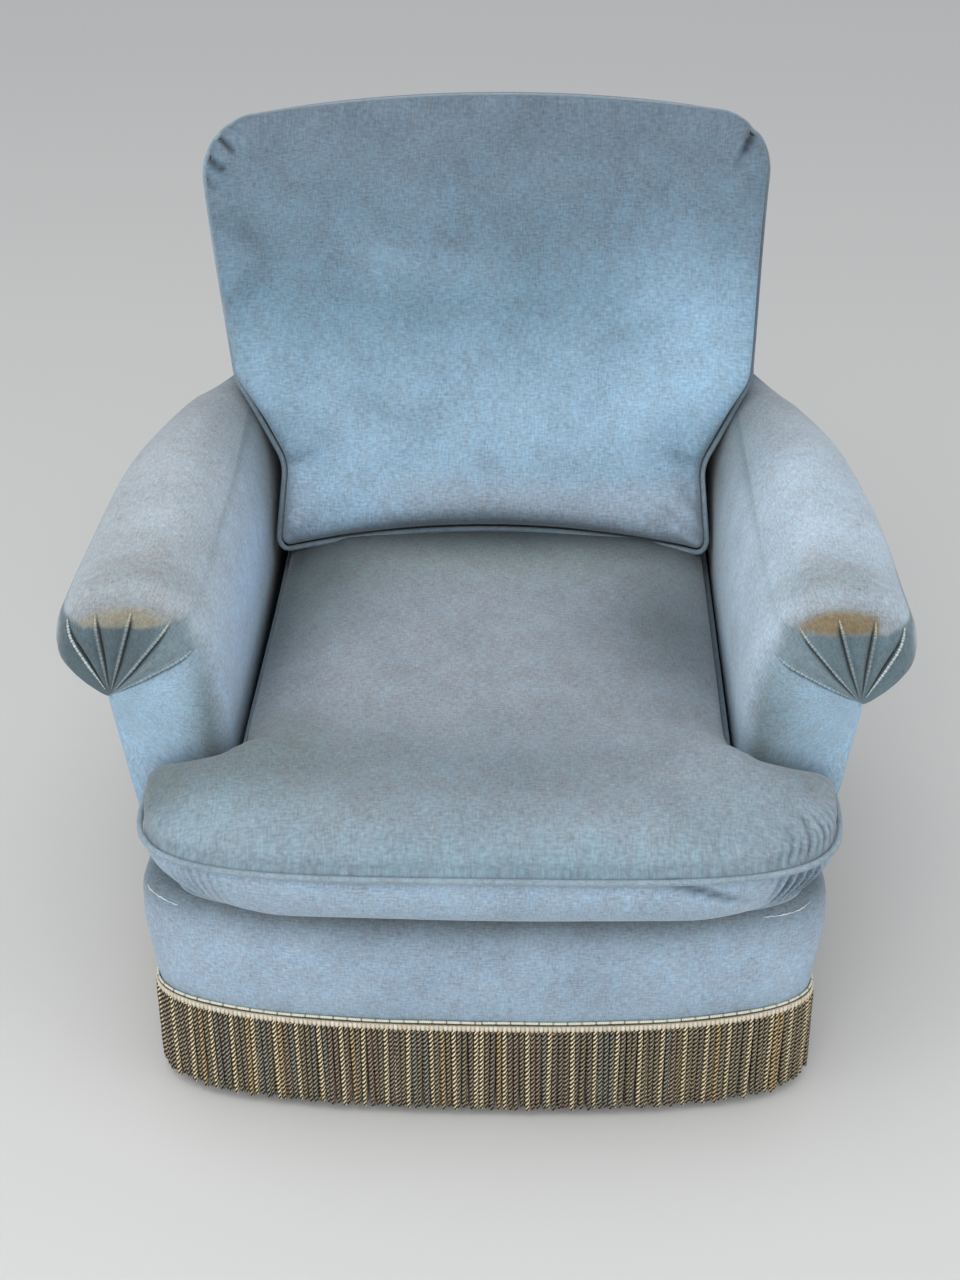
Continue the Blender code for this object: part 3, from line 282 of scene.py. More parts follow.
jute = weave("jute_webbing", 520.0, (0.42, 0.30, 0.16), (0.20, 0.13, 0.065))
for number in (1, 2, 3):
    dress(f"long_strap_{number}", jute)
    dress(f"cross_strap_{number}", jute)

coppered, tree, place = new_material("coppered_wire")
rust = stretched_noise(tree, place, (90.0, 90.0, 90.0), 4.0)
worn_copper = mixed_colour(tree, rust, (0.52, 0.30, 0.20), (0.16, 0.10, 0.07))
finished(coppered, tree, worn_copper, 0.45, rust, 0.0002, 0.3, {"Metallic": 0.9})
for number in range(1, 10):
    dress(f"spring_{number}", coppered)


# ---- Hessian and seat platform ----
# Coarse hessian is tacked over the springs. Above it lies the stuffing, stitched under calico
# and level with the front border, where nobody sees it once the cushion is in.

sacking = weave("hessian_cloth", 640.0, (0.40, 0.29, 0.16), (0.13, 0.085, 0.045))
dress("spring_hessian", sacking)
calico = weave("calico_cloth", 1500.0, (0.70, 0.66, 0.55), (0.50, 0.46, 0.36), relief=0.0003)
dress("seat_platform", calico)


# ---- Dust cloth ----
# Black lining cloth under the chair, turned in at its edge, cut round the legs and held by
# tacks. It has sagged a little between them.


def path_run(path):
    """How far along an open path each of its points lies."""
    return np.concatenate([[0.0], np.cumsum(np.linalg.norm(np.diff(path, axis=0), axis=1))])


def read_at(at, run, points):
    """New points on a path: at says where, on the run that the given points have."""
    return np.column_stack([np.interp(at, run, column) for column in np.transpose(points)])


def evenly(path, spacing, closed=True):
    """A path's points set afresh at one spacing. A closed path doesn't repeat its first point."""
    path = np.asarray(path, float)
    whole = np.vstack([path, path[:1]]) if closed else path
    run = path_run(whole)
    count = max(3, round(run[-1] / spacing))
    made = read_at(np.linspace(0, run[-1], count + 1), run, whole)
    return made[:-1] if closed else made


def smooth_step(low, high, value):
    part = np.clip((np.asarray(value, float) - low) / (high - low), 0, 1)
    return part * part * (3 - 2 * part)


def new_mesh(name, verts, faces, cloth=None):
    """A mesh with its cloth measure as a UV map: one (u, v) for each corner of each face."""
    mesh = bpy.data.meshes.new(name)
    mesh.from_pydata([tuple(map(float, v)) for v in verts], [], [list(map(int, f)) for f in faces])
    mesh.update()
    if cloth is not None:
        layer = mesh.uv_layers.new(name="cloth")
        layer.uv.foreach_set("vector", np.asarray(cloth, np.float32).ravel())
    return mesh


def as_object(name, verts, faces, material, cloth=None, tone=None):
    """A smooth piece of the chair. tone has one colour for each point."""
    mesh = new_mesh(name, verts, faces, cloth)
    if tone is not None:
        layer = mesh.attributes.new("tone", "FLOAT_COLOR", "POINT")
        full = np.ones((len(verts), 4), np.float32)
        full[:, :3] = tone
        layer.data.foreach_set("color", full.ravel())
    mesh.shade_smooth()
    mesh.materials.append(material)
    made = bpy.data.objects.new(name, mesh)
    scene.collection.objects.link(made)
    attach(made, "root")
    return made


def filled(loop, spacing, fine=None):
    """Triangles that fill a closed outline, their points on a hexagonal lattice. fine(points)
    says where the lattice is twice as close. The outline's own points come first."""
    loop = np.asarray(loop, float)
    low = loop.min(0)
    high = loop.max(0)

    def lattice(step, shift):
        xs = np.arange(low[0] + shift, high[0], step)
        ys = np.arange(low[1] + shift, high[1], step * math.sqrt(0.75))
        grid = np.array([(x + (j % 2) * step / 2, y) for j, y in enumerate(ys) for x in xs])
        return grid[inside(grid, loop) & (edge_reach(grid, loop) > 0.62 * step)]

    points = lattice(spacing, spacing * 0.3)
    if fine is not None:
        close = lattice(spacing / 2, spacing * 0.17)
        points = np.vstack([points[~fine(points)], close[fine(close)]])
    every = [Vector(p) for p in np.vstack([loop, points])]
    made = delaunay_2d_cdt(every, [], [list(range(len(loop)))], 1, 1e-7)
    return np.array([tuple(v) for v in made[0]]), np.array([list(f) for f in made[2]], int)


def inside(points, loop):
    """Whether each point lies inside a closed outline."""
    ahead = np.roll(loop, -1, axis=0)
    x, y = points[:, :1], points[:, 1:]
    crosses = (loop[:, 1] > y) != (ahead[:, 1] > y)
    slope = (ahead[:, 0] - loop[:, 0]) / np.where(ahead[:, 1] == loop[:, 1], 1e-12,
                                                  ahead[:, 1] - loop[:, 1])
    at = loop[:, 0] + (y - loop[:, 1]) * slope
    return (crosses & (x < at)).sum(axis=1) % 2 == 1


def edge_reach(points, loop):
    """Each point's distance from the nearest side of a closed outline."""
    nearest = np.full(len(points), 9.0)
    for start, end in zip(loop, np.roll(loop, -1, axis=0)):
        side = end - start
        part = np.clip((points - start) @ side / max(side @ side, 1e-12), 0, 1)
        nearest = np.minimum(nearest, np.linalg.norm(points - start - part[:, None] * side, axis=1))
    return nearest


def mirrored(half):
    """A closed outline from its right half, whose ends lie on the middle line."""
    half = [tuple(p) for p in half]
    return np.array(half + [(-x, y) for x, y in reversed(half[1:-1])])


def along_path(name, path, piece, pitch, material, seed, lean=0.0, spread=0.0):
    """Sets one small mesh again and again round a closed path, upright, with Geometry Nodes.
    Its X runs along the path. Each copy leans and grows by a little of its own, and carries a
    random number, yarn, and its order along the path."""
    small = bpy.data.objects.new(piece.name, piece)
    scene.collection.objects.link(small)
    count = len(path)
    mesh = bpy.data.meshes.new(name)
    mesh.from_pydata([tuple(p) for p in path], [(i, (i + 1) % count) for i in range(count)], [])
    made = bpy.data.objects.new(name, mesh)
    scene.collection.objects.link(made)

    group = bpy.data.node_groups.new(f"set_{name}", "GeometryNodeTree")
    face = group.interface
    face.new_socket("Geometry", in_out="INPUT", socket_type="NodeSocketGeometry")
    named = {}
    for label, kind in (("Piece", "Object"), ("Pitch", "Float"), ("Lean", "Float"),
                        ("Spread", "Float"), ("Seed", "Int"), ("Material", "Material")):
        named[label] = face.new_socket(label, in_out="INPUT", socket_type=f"NodeSocket{kind}")
    face.new_socket("Geometry", in_out="OUTPUT", socket_type="NodeSocketGeometry")
    given = group.nodes.new("NodeGroupInput").outputs

    def add(kind, inputs=None, **settings):
        return add_node(group, kind, inputs, **settings)

    curve = add("GeometryNodeMeshToCurve", {"Mesh": given["Geometry"]})
    spots = add("GeometryNodeCurveToPoints", {0: curve.outputs[0], "Length": given["Pitch"]},
                mode="LENGTH")
    facing = add("FunctionNodeAlignRotationToVector", {"Vector": spots.outputs["Tangent"]},
                 axis="X", pivot_axis="Z")
    tilt = add("FunctionNodeRandomValue", {
        0: reckoned(group, "MULTIPLY", given["Lean"], -1.0), 1: given["Lean"],
        "Seed": given["Seed"],
    }, data_type="FLOAT_VECTOR")
    euler = add("FunctionNodeEulerToRotation", {0: tilt.outputs[0]})
    turned = add("FunctionNodeRotateRotation",
                 {"Rotation": facing.outputs[0], "Rotate By": euler.outputs[0]},
                 rotation_space="LOCAL")
    grown = add("FunctionNodeRandomValue", {
        2: reckoned(group, "SUBTRACT", 1.0, given["Spread"]),
        3: reckoned(group, "ADD", 1.0, given["Spread"]), "Seed": given["Seed"],
    }, data_type="FLOAT")
    size = add("ShaderNodeCombineXYZ", {"X": 1.0, "Y": 1.0, "Z": grown.outputs[1]})
    info = add("GeometryNodeObjectInfo", {"Object": given["Piece"]})
    copies = add("GeometryNodeInstanceOnPoints", {
        "Points": spots.outputs[0], "Instance": info.outputs["Geometry"],
        "Rotation": turned.outputs[0], "Scale": size.outputs[0],
    })
    chance = add("FunctionNodeRandomValue", {"Seed": given["Seed"]}, data_type="FLOAT")
    order = add("GeometryNodeInputIndex")
    geometry = copies.outputs[0]
    for label, value in (("yarn", chance.outputs[1]), ("order", order.outputs[0])):
        store = add("GeometryNodeStoreNamedAttribute", {0: geometry, "Name": label},
                    data_type="FLOAT", domain="INSTANCE")
        group.links.new(value, store.inputs["Value"])
        geometry = store.outputs[0]
    real = add("GeometryNodeRealizeInstances", {0: geometry})
    coloured = add("GeometryNodeSetMaterial",
                   {"Geometry": real.outputs[0], "Material": given["Material"]})
    output = group.nodes.new("NodeGroupOutput")
    group.links.new(coloured.outputs[0], output.inputs[0])

    modifier = made.modifiers.new("set_along", "NODES")
    modifier.node_group = group
    values = {"Piece": small, "Pitch": pitch, "Lean": lean, "Spread": spread, "Seed": seed,
              "Material": material}
    for label, value in values.items():
        modifier[named[label].identifier] = value
    done = bpy.data.meshes.new_from_object(made.evaluated_get(
        bpy.context.evaluated_depsgraph_get()))
    made.modifiers.remove(modifier)
    made.data = done
    bpy.data.objects.remove(small, do_unlink=True)
    done.shade_smooth()
    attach(made, "root")
    return made


DUST_NOTCH_X = 0.2550
DUST_FRONT_NOTCH_Y = -0.3170
DUST_REAR_NOTCH_Y = 0.2100
DUST_SAG = 0.0030
COVER_SPACING = 0.016  # between the points of a flat cover
DUST_THICK = 0.0011
TACK_PITCH = 0.042
TACK_RADIUS = 0.0042
TACK_DOME = 0.0014
dust_low, dust_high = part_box("dust_cover")
half = [(0.0, dust_low.y), (DUST_NOTCH_X, dust_low.y + 0.020),
        (DUST_NOTCH_X, DUST_FRONT_NOTCH_Y), (dust_high.x, DUST_FRONT_NOTCH_Y),
        (dust_high.x, DUST_REAR_NOTCH_Y), (DUST_NOTCH_X, DUST_REAR_NOTCH_Y),
        (DUST_NOTCH_X, dust_high.y), (0.0, dust_high.y)]
dust_loop = evenly(mirrored(half), 0.014)
flat, faces = filled(dust_loop, COVER_SPACING)
reach = edge_reach(flat, dust_loop)
sag = DUST_SAG * smooth_step(0.0, 0.16, reach)
pucker = 0.0007 * np.exp(-reach / 0.012) * np.cos(
    2 * math.pi * (flat[:, 0] + flat[:, 1]) / TACK_PITCH)
verts = np.column_stack([flat, dust_low.z + 0.0006 - sag - pucker])
black_cloth = weave("black_lining", 1700.0, (0.040, 0.040, 0.043), (0.016, 0.016, 0.018),
                    relief=0.0003)
dust = as_object("dust_cloth", verts, faces[:, ::-1], black_cloth)
solid = dust.modifiers.new("thickness", "SOLIDIFY")
solid.thickness = DUST_THICK
solid.offset = -1.0
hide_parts("dust_cover")

dome = [(math.cos(a) * r, math.sin(a) * r, -h) for r, h in
        ((TACK_RADIUS, 0.0), (0.6 * TACK_RADIUS, 0.75 * TACK_DOME))
        for a in np.linspace(0, 2 * math.pi, 8, endpoint=False)]
tack_faces = [(8 + i, 8 + (i + 1) % 8, (i + 1) % 8, i) for i in range(8)]
tack_faces += [tuple(range(8, 16))[::-1], tuple(range(8))]
blued, tree, place = new_material("blued_tacks")
rust = stretched_noise(tree, place, (700.0, 700.0, 700.0), 3.0)
finished(blued, tree, mixed_colour(tree, rust, (0.09, 0.09, 0.11), (0.20, 0.12, 0.07)), 0.4,
         rust, 0.0002, 0.4, {"Metallic": 0.9})
tack_path = np.column_stack([dust_loop * 0.985, np.full(len(dust_loop), dust_low.z + 0.0004)])
along_path("dust_tacks", tack_path, new_mesh("tack", dome, tack_faces), TACK_PITCH, blued,
           seed=3)


# ---- Front border ----
# The padded band below the cushion: velvet over wadding, down the face of the front rail and
# back over its top. Its nap is rubbed through at both corners, where pale threads show.

LILAC_CAST = (1.035, 0.995, 0.980)
BLUE_CAST = (0.965, 1.005, 1.020)


def velvet(name, ribs=1.0, specks=()):
    """Worn upholstery velvet. The piece's tone attribute gives its colour. Its cloth map, in
    metres, places broken ribs, crushed streaks and a slow change between grey lilac and blue.
    specks are small stains or lint: where, how big and which colour."""
    made, tree, body = new_material(name)
    tone = add_node(tree, "ShaderNodeAttribute", attribute_name="tone").outputs["Color"]
    place = add_node(tree, "ShaderNodeUVMap", uv_map="cloth").outputs[0]
    cloud = stretched_noise(tree, body, (17.0, 17.0, 17.0), 3.0)
    blotch = stretched_noise(tree, place, (62.0, 40.0, 1.0), 3.0, Distortion=0.4)
    streak = stretched_noise(tree, place, (480.0, 135.0, 1.0), 2.0)
    rib = stretched_noise(tree, place, (140.0, 460.0, 1.0), 2.0)
    grain = stretched_noise(tree, place, (1500.0, 1500.0, 1.0), 1.0)
    shares = ((cloud, 0.42), (blotch, 0.34), (streak, 0.70), (rib, 0.80 * ribs), (grain, 0.55))
    level = 1.0 - 0.5 * sum(share for _, share in shares)
    for noise, share in shares:
        level = reckoned(tree, "MULTIPLY_ADD", noise, share, level)
    lit = add_node(tree, "ShaderNodeVectorMath", {0: tone, "Scale": level}, operation="SCALE")
    hue = mixed_colour(tree, spanned(tree, blotch, 0.35, 0.65, 0.0, 1.0), LILAC_CAST, BLUE_CAST)
    dyed = add_node(tree, "ShaderNodeVectorMath", {0: lit.outputs[0], 1: hue},
                    operation="MULTIPLY")
    shown = dyed.outputs[0]
    for spot, size, colour in specks:
        away = add_node(tree, "ShaderNodeVectorMath", {0: body, 1: spot}, operation="DISTANCE")
        near = spanned(tree, away.outputs["Value"], 0.5 * size, size, 0.8, 0.0)
        shown = mixed_colour(tree, near, shown, tuple(colour))
    pile = reckoned(tree, "ADD", rib, grain)
    return finished(made, tree, shown, 0.86, pile, 0.0009, 0.55 * ribs,
                    {"Sheen Weight": 0.28, "Sheen Roughness": 0.45, "Specular IOR Level": 0.25})


def grid_faces(rows, columns):
    """Quads over closed rows of points, and the places of each quad's corners on a cloth map,
    which has one column more."""
    i, j = (part.ravel() for part in np.indices((rows - 1, columns)))
    k = (j + 1) % columns
    faces = np.column_stack([i * columns + j, i * columns + k, (i + 1) * columns + k,
                             (i + 1) * columns + j])
    at = i * (columns + 1) + j
    return faces, np.column_stack([at, at + 1, at + columns + 2, at + columns + 1])


def volume(verts, faces):
    """Six times the volume that the faces close in: negative where they point inwards."""
    middle = verts.mean(axis=0)
    total = 0.0
    for face in faces:
        a, b, c = (verts[face[k]] - middle for k in (0, 1, 2))
        total += float(np.dot(a, np.cross(b, c)))
        if len(face) == 4:
            total += float(np.dot(a, np.cross(c, verts[face[3]] - middle)))
    return total


def skinned(name, verts, faces, cloth, material, tone):
    """A skin with its faces turned outwards. cloth has the places of each face's corners."""
    if volume(verts, faces) < 0:
        faces = [face[::-1] for face in faces]
        cloth = [corners[::-1] for corners in cloth]
    return as_object(name, verts, faces, material, np.concatenate(cloth), tone)


def lofted(name, rings, cloth, tone, material, capped=True):
    """A skin through closed rings of points (rows, columns, 3). cloth has one column more than
    a ring. A capped skin is closed at both ends by a fan of triangles."""
    rows, columns = rings.shape[:2]
    quads, corners = grid_faces(rows, columns)
    verts = rings.reshape(-1, 3)
    tone = tone.reshape(-1, 3)
    faces = list(quads)
    places = list(cloth.reshape(-1, 2)[corners])
    for row in (0, rows - 1) if capped else ():
        hub = len(verts)
        ring = np.arange(columns) + row * columns
        verts = np.vstack([verts, rings[row].mean(axis=0)])
        tone = np.vstack([tone, tone[ring].mean(axis=0)])
        flat = cloth[row]
        middle = flat.mean(axis=0)
        for j in range(columns):
            pair, edge = (ring[j], ring[(j + 1) % columns]), (flat[j], flat[j + 1])
            if row == 0:
                pair, edge = pair[::-1], edge[::-1]
            faces.append((*pair, hub))
            places.append((*edge, middle))
    return skinned(name, verts, faces, places, material, tone)


def toned(points, ground, *patches):
    """The cloth's colour at each point: a ground under soft patches, each a colour, its middle,
    its reach along the three axes and how far it covers."""
    points = np.asarray(points, float)
    colour = np.empty_like(points)
    colour[:] = ground
    for shade, place, reach, share in patches:
        away = (points - np.array(place)) / np.array(reach)
        weight = share * np.exp(-(away ** 2).sum(axis=-1))[..., None]
        colour += (np.asarray(shade) - colour) * weight
    return colour


def measured(rings, closed=True):
    """A cloth map for rings of points: the run along each ring, and the way from ring to ring,
    both in metres."""
    ring = np.concatenate([rings, rings[:, :1]], axis=1) if closed else rings
    run = np.linalg.norm(np.diff(ring, axis=1), axis=2).mean(axis=0)
    across = np.concatenate([[0.0], np.cumsum(run)])
    step = np.linalg.norm(np.diff(rings, axis=0), axis=2).mean(axis=1)
    down = np.concatenate([[0.0], np.cumsum(step)])
    return np.stack(np.meshgrid(across, down), axis=-1)


def tube(name, path, radius, material, tone, sides=8, closed=True):
    """A round cord along a path, its cloth map wound round it in metres. radius and tone are
    one for the whole cord or one for each point."""
    count = len(path)
    radius = np.broadcast_to(radius, (count,))
    ahead = np.roll(path, -1, axis=0) - np.roll(path, 1, axis=0)
    if not closed:
        ahead[0] = path[1] - path[0]
        ahead[-1] = path[-1] - path[-2]
    ahead /= np.linalg.norm(ahead, axis=1)[:, None]
    side = np.cross(ahead[0], (0.0, 0.0, 1.0))
    if np.linalg.norm(side) < 0.1:
        side = np.array([1.0, 0.0, 0.0])
    carried = []
    for along in ahead:
        side = side - along * (side @ along)
        side = side / np.linalg.norm(side)
        carried.append(side)
    carried = np.array(carried)
    if closed:
        home = side - ahead[0] * (side @ ahead[0])
        twist = math.atan2(np.cross(home, carried[0]) @ ahead[0], home @ carried[0])
        part = (twist * np.arange(count) / count)[:, None]
        carried = carried * np.cos(part) + np.cross(ahead, carried) * np.sin(part)
    other = np.cross(ahead, carried)
    turn = np.linspace(0, 2 * np.pi, sides, endpoint=False)[:, None]
    rings = path[:, None] + radius[:, None, None] * (
        np.cos(turn) * carried[:, None] + np.sin(turn) * other[:, None])
    around = np.linspace(0, 2 * np.pi * float(radius.mean()), sides + 1)
    run = path_run(np.vstack([path, path[:1]]) if closed else path)
    cloth = np.stack(np.meshgrid(around, run), axis=-1)
    colour = np.repeat(np.broadcast_to(tone, (count, 3))[:, None], sides, axis=1)
    if not closed:
        return lofted(name, rings, cloth, colour, material)
    faces, corners = grid_faces(count + 1, sides)
    return skinned(name, rings.reshape(-1, 3), faces % (count * sides),
                   cloth.reshape(-1, 2)[corners], material, colour.reshape(-1, 3))


BASE_HALF = 0.352
BASE_REAR_HALF = 0.322
BASE_REAR_Y = 0.2892
BOW_DEPTH = 0.080
BOW_POWER = 2.5
BOW_END_Y = -0.3575
BOW_SHARE = 0.76  # the bow's part of the loop that it makes with the straight line behind it
BASE_FLARE = 0.007
BORDER_THICK = 0.0162
FABRIC_BOTTOM = 0.1285
HEADING_TOP = 0.1363
SEAT_LEVEL = 0.2805
ARM_FRONT_Y = -0.3005


def rearwards(y):
    """0 where the front's bow ends, 1 at the rear of the base."""
    return np.clip((y - BOW_END_Y) / (BASE_REAR_Y - BOW_END_Y), 0, 1)


def side_half(y):
    """Half width of the base, which closes in towards the back."""
    return BASE_HALF + (BASE_REAR_HALF - BASE_HALF) * rearwards(y)


def bow(half, depth, power, end_y, count=90):
    """The right half of a bowed front in plan, from its middle out to its end."""
    angle = np.pi / 2 * (1 - np.linspace(0, 1, count + 1))
    x = half * np.abs(np.cos(angle)) ** (2 / power)
    x[0] = 0.0
    return np.column_stack([x, end_y - depth * np.sin(angle) ** (2 / power)])


def loop_length(loop):
    return float(np.linalg.norm(np.roll(loop, -1, axis=0) - loop, axis=1).sum())


def front_strip(depth_in, end_y, spacing):
    """The bowed front from end_y on the right round to end_y on the left."""
    half = bow(BASE_HALF - depth_in, BOW_DEPTH - depth_in, BOW_POWER, BOW_END_Y)
    half = np.vstack([half, [side_half(end_y) - depth_in, end_y]])
    left = half[1:] * np.array([-1, 1])
    whole = evenly(np.vstack([half[::-1], left]), 0.002, closed=False)
    count = round(loop_length(whole) * BOW_SHARE / spacing)
    return read_at(np.linspace(0, 1, count + 1), np.linspace(0, 1, len(whole)), whole)


def linear(red, green, blue):
    """A dye given as a colour card reads it, 0 to 255, as linear colour."""
    card = np.array([red, green, blue]) / 255
    return np.where(card <= 0.04045, card / 12.92, ((card + 0.055) / 1.055) ** 2.4)


BORDER_BLUE = linear(151, 172, 191)
BORDER_LOW = linear(140, 160, 174)
BORDER_SHADE = linear(86, 94, 95)
BORDER_SIDE = linear(166, 188, 208)
section = [(0.0030, FABRIC_BOTTOM), (0.0008, 0.136), (0.0000, 0.145), (-0.0006, 0.165),
           (-0.0010, 0.185), (-0.0012, 0.205), (-0.0010, 0.225), (-0.0006, 0.243),
           (0.0000, 0.258), (0.0016, 0.2665), (0.0040, 0.272), (0.0080, 0.2768),
           (0.0130, SEAT_LEVEL - 0.001), (0.0300, SEAT_LEVEL), (0.0520, SEAT_LEVEL - 0.001),
           (0.0520, 0.2353), (BORDER_THICK, 0.2353), (BORDER_THICK, FABRIC_BOTTOM)]
fine = []
for (d0, z0), (d1, z1) in zip(section[:-3], section[1:-2]):
    count = max(1, round(math.hypot(d1 - d0, z1 - z0) / 0.006))
    fine += [(d0 + (d1 - d0) * k / count, z0 + (z1 - z0) * k / count) for k in range(count)]
section = fine + section[-3:]
strips = [front_strip(depth, ARM_FRONT_Y - 0.0007, 0.008) for depth, _ in section]
least = min(len(strip) for strip in strips)
rings = []
for strip, (depth, z) in zip(strips, section):
    strip = read_at(np.linspace(0, len(strip) - 1, least), np.arange(len(strip)), strip)
    flare = BASE_FLARE * smooth_step(HEADING_TOP, 0.235, z) * (depth < BORDER_THICK)
    puff = 0.0012 * np.sin(strip[:, 0] * 31.0 + z * 22.0) * np.sin(strip[:, 0] * 12.0 - z * 60.0)
    face = float(depth < 0.010) * smooth_step(0.130, 0.150, z) * smooth_step(0.276, 0.262, z)
    rings.append(np.column_stack([
        strip[:, 0] * (1 + flare / BASE_HALF), strip[:, 1] - puff * face, np.full(least, z)]))
rings = np.array(rings)
border_cloth = measured(rings, closed=False).transpose(1, 0, 2)
border_cloth = np.concatenate([border_cloth, border_cloth[:, :1]], axis=1)
rings = rings.transpose(1, 0, 2)
border_tone = toned(
    rings, BORDER_BLUE,
    (BORDER_SIDE, (-0.27, -0.38, 0.21), (0.10, 0.09, 0.07), 0.8),
    (BORDER_SIDE, (0.28, -0.38, 0.20), (0.10, 0.09, 0.06), 0.7),
    (BORDER_LOW, (0.0, -0.42, 0.130), (0.60, 0.20, 0.020), 0.8),
    (BORDER_SHADE, (0.0, -0.41, 0.284), (0.60, 0.25, 0.033), 1.0),
)
front_border = lofted("front_border_cover", rings, border_cloth, border_tone,
                      velvet("border_velvet"))
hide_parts("front_border")

THREAD_PALE = linear(216, 226, 228)
THREAD_STEP = 0.0012
thread_velvet = velvet("bare_thread", ribs=0.4)
bare_threads = {
    "left": [(-0.350, -0.3798, 0.2707), (-0.3475, -0.3833, 0.2682), (-0.3415, -0.3893, 0.2670),
             (-0.3355, -0.3940, 0.2664), (-0.3260, -0.4000, 0.2654), (-0.3150, -0.4050, 0.2642)],
    "right": [(0.2880, -0.4136, 0.2662), (0.2945, -0.4120, 0.2666), (0.3030, -0.4098, 0.2652),
              (0.3115, -0.4068, 0.2650), (0.3200, -0.4033, 0.2648), (0.3275, -0.3996, 0.2658),
              (0.3330, -0.3958, 0.2674), (0.3385, -0.3913, 0.2698)],
}
for word, spots in bare_threads.items():
    path = evenly(spots, THREAD_STEP, closed=False)
    run = np.arange(len(path)) * THREAD_STEP
    path[:, 2] += 0.0004 * np.sin(run * 900.0)
    ends = np.clip(np.minimum(run, run[-1] - run) / 0.006, 0, 1)
    tube(f"{word}_bare_thread", path, 0.0003 + 0.0006 * ends * (0.6 + 0.4 * np.sin(run * 330.0)),
         thread_velvet, THREAD_PALE, sides=5, closed=False)


# ---- Arms ----
# A scroll of horsehair over the arm rail, with velvet drawn over it, down the inner side and
# round the front. On the face the cloth is pulled into five pleats that meet under the scroll.

ARM_STATIONS = np.array([-0.30, 0.05, 0.20, 0.33])
ARM_SIZES = dict(
    inner=(0.2680, 0.2635, 0.2625, 0.2625),
    top_x=(0.3500, 0.3420, 0.3220, 0.3000),
    top_z=(0.5760, 0.5770, 0.5590, 0.5300),
    out_x=(0.4435, 0.4110, 0.3670, 0.3300),
    out_z=(0.5100, 0.5150, 0.5050, 0.4900),
    fan_x=(0.3865, 0.3620, 0.3400, 0.3230),
    fan_z=(0.4550, 0.4570, 0.4600, 0.4630),
)
ARM_SHOULDER_Z = 0.435
ARM_FOOT = 0.290
ARM_ROUND_DEPTH = 0.050
ARM_ROUND_INSET = 0.032
SIDE_ROOM = 0.0080  # for the outside cover and its wadding
CLOTH_ROW = 40  # the ring whose length measures the cloth round the arm
PLEATS = 5
PLEAT_FIRST = 67.0
PLEAT_LAST = 149.5
PLEAT_HEIGHT = 0.0026
PLEAT_WIDTH = 0.0022
PLEAT_VALLEY = 0.0030
PLEAT_SWELL = 0.0032
PLEAT_TIPS = (0.093, 0.099, 0.106, 0.113, 0.106)
CORD_THICK = 0.0011
CORD_STEP = 0.0008
FAN_LOW = 24.0
FAN_SHIFT = 0.0020
FAN_EDGE_Z = 0.5405
BEND_Z = 0.340
BACK_Y_AT_BEND = 0.2553
RAKE = 0.36
LOWER_RAKE = 0.10
pleat_angles = np.linspace(PLEAT_FIRST, PLEAT_LAST, PLEATS)


def back_surface(z):
    """Y of the padded front surface of the back at a height."""
    z = np.asarray(z, float)
    return BACK_Y_AT_BEND + (z - BEND_Z) * np.where(z > BEND_Z, RAKE, LOWER_RAKE)


def side_surface(y, z):
    """X of the outside arm cover: it leans outward at the front and is upright at the back."""
    lean = (ARM_SIZES["fan_x"][0] - BASE_HALF) / (ARM_SIZES["fan_z"][0] - HEADING_TOP)
    return side_half(y) + lean * (z - HEADING_TOP) * (1 - rearwards(y))


def along_arm(values, y):
    """A smooth curve through one size's four values, read at y."""
    values = np.array(values)
    slopes = np.diff(values) / np.diff(ARM_STATIONS)
    tangents = np.concatenate([slopes[:1], (slopes[1:] + slopes[:-1]) / 2, slopes[-1:]])
    i = min(2, max(0, int((y > ARM_STATIONS[1:]).sum())))
    width = ARM_STATIONS[i + 1] - ARM_STATIONS[i]
    t = min(1.0, max(0.0, (y - ARM_STATIONS[i]) / width))
    rise = tangents[i] * width * t * (1 - t) ** 2 - tangents[i + 1] * width * t * t * (1 - t)
    return float(values[i] + (values[i + 1] - values[i]) * t * t * (3 - 2 * t) + rise)


def arm_outline(y):
    """The arm from the front: from its inner foot over the scroll to the fan's point."""
    size = {key: along_arm(values, y) for key, values in ARM_SIZES.items()}
    inner = size["inner"] + 0.001
    turn = np.linspace(0, np.pi / 2, 21)[1:]
    foot = [(size["inner"], ARM_FOOT)]
    foot += [(inner, z) for z in np.linspace(ARM_FOOT + 0.01, ARM_SHOULDER_Z, 10)]
    rise = size["top_z"] - ARM_SHOULDER_Z
    up = np.column_stack([size["top_x"] - (size["top_x"] - inner) * np.cos(turn),
                          ARM_SHOULDER_Z + rise * np.sin(turn)])
    over = np.column_stack([
        size["top_x"] + (size["out_x"] - size["top_x"]) * np.sin(turn),
        size["out_z"] + (size["top_z"] - size["out_z"]) * np.cos(turn)])
    left = 1 - turn / (np.pi / 2)
    under = np.column_stack([
        size["fan_x"] + (size["out_x"] - size["fan_x"]) * (np.cos(turn) + left) / 2,
        size["fan_z"] + (size["out_z"] - size["fan_z"]) * (1 - np.sin(turn) + left) / 2])
    return np.vstack([foot, up, over, under]), np.array([size["fan_x"], size["fan_z"]])


def fan_rays():
    """Rays about the fan's point in degrees, close together near each pleat."""
    rays = list(np.arange(FAN_LOW, 56.0, 4.0)) + list(np.arange(162.0, 226.0, 4.0))
    at = 56.0
    while at < 162.0:
        rays.append(at)
        near = np.abs(pleat_angles - at).min()
        at += 0.4 if near < 4.0 else 1.3
    rays += list(pleat_angles)
    return np.array(sorted(rays))[::-1]


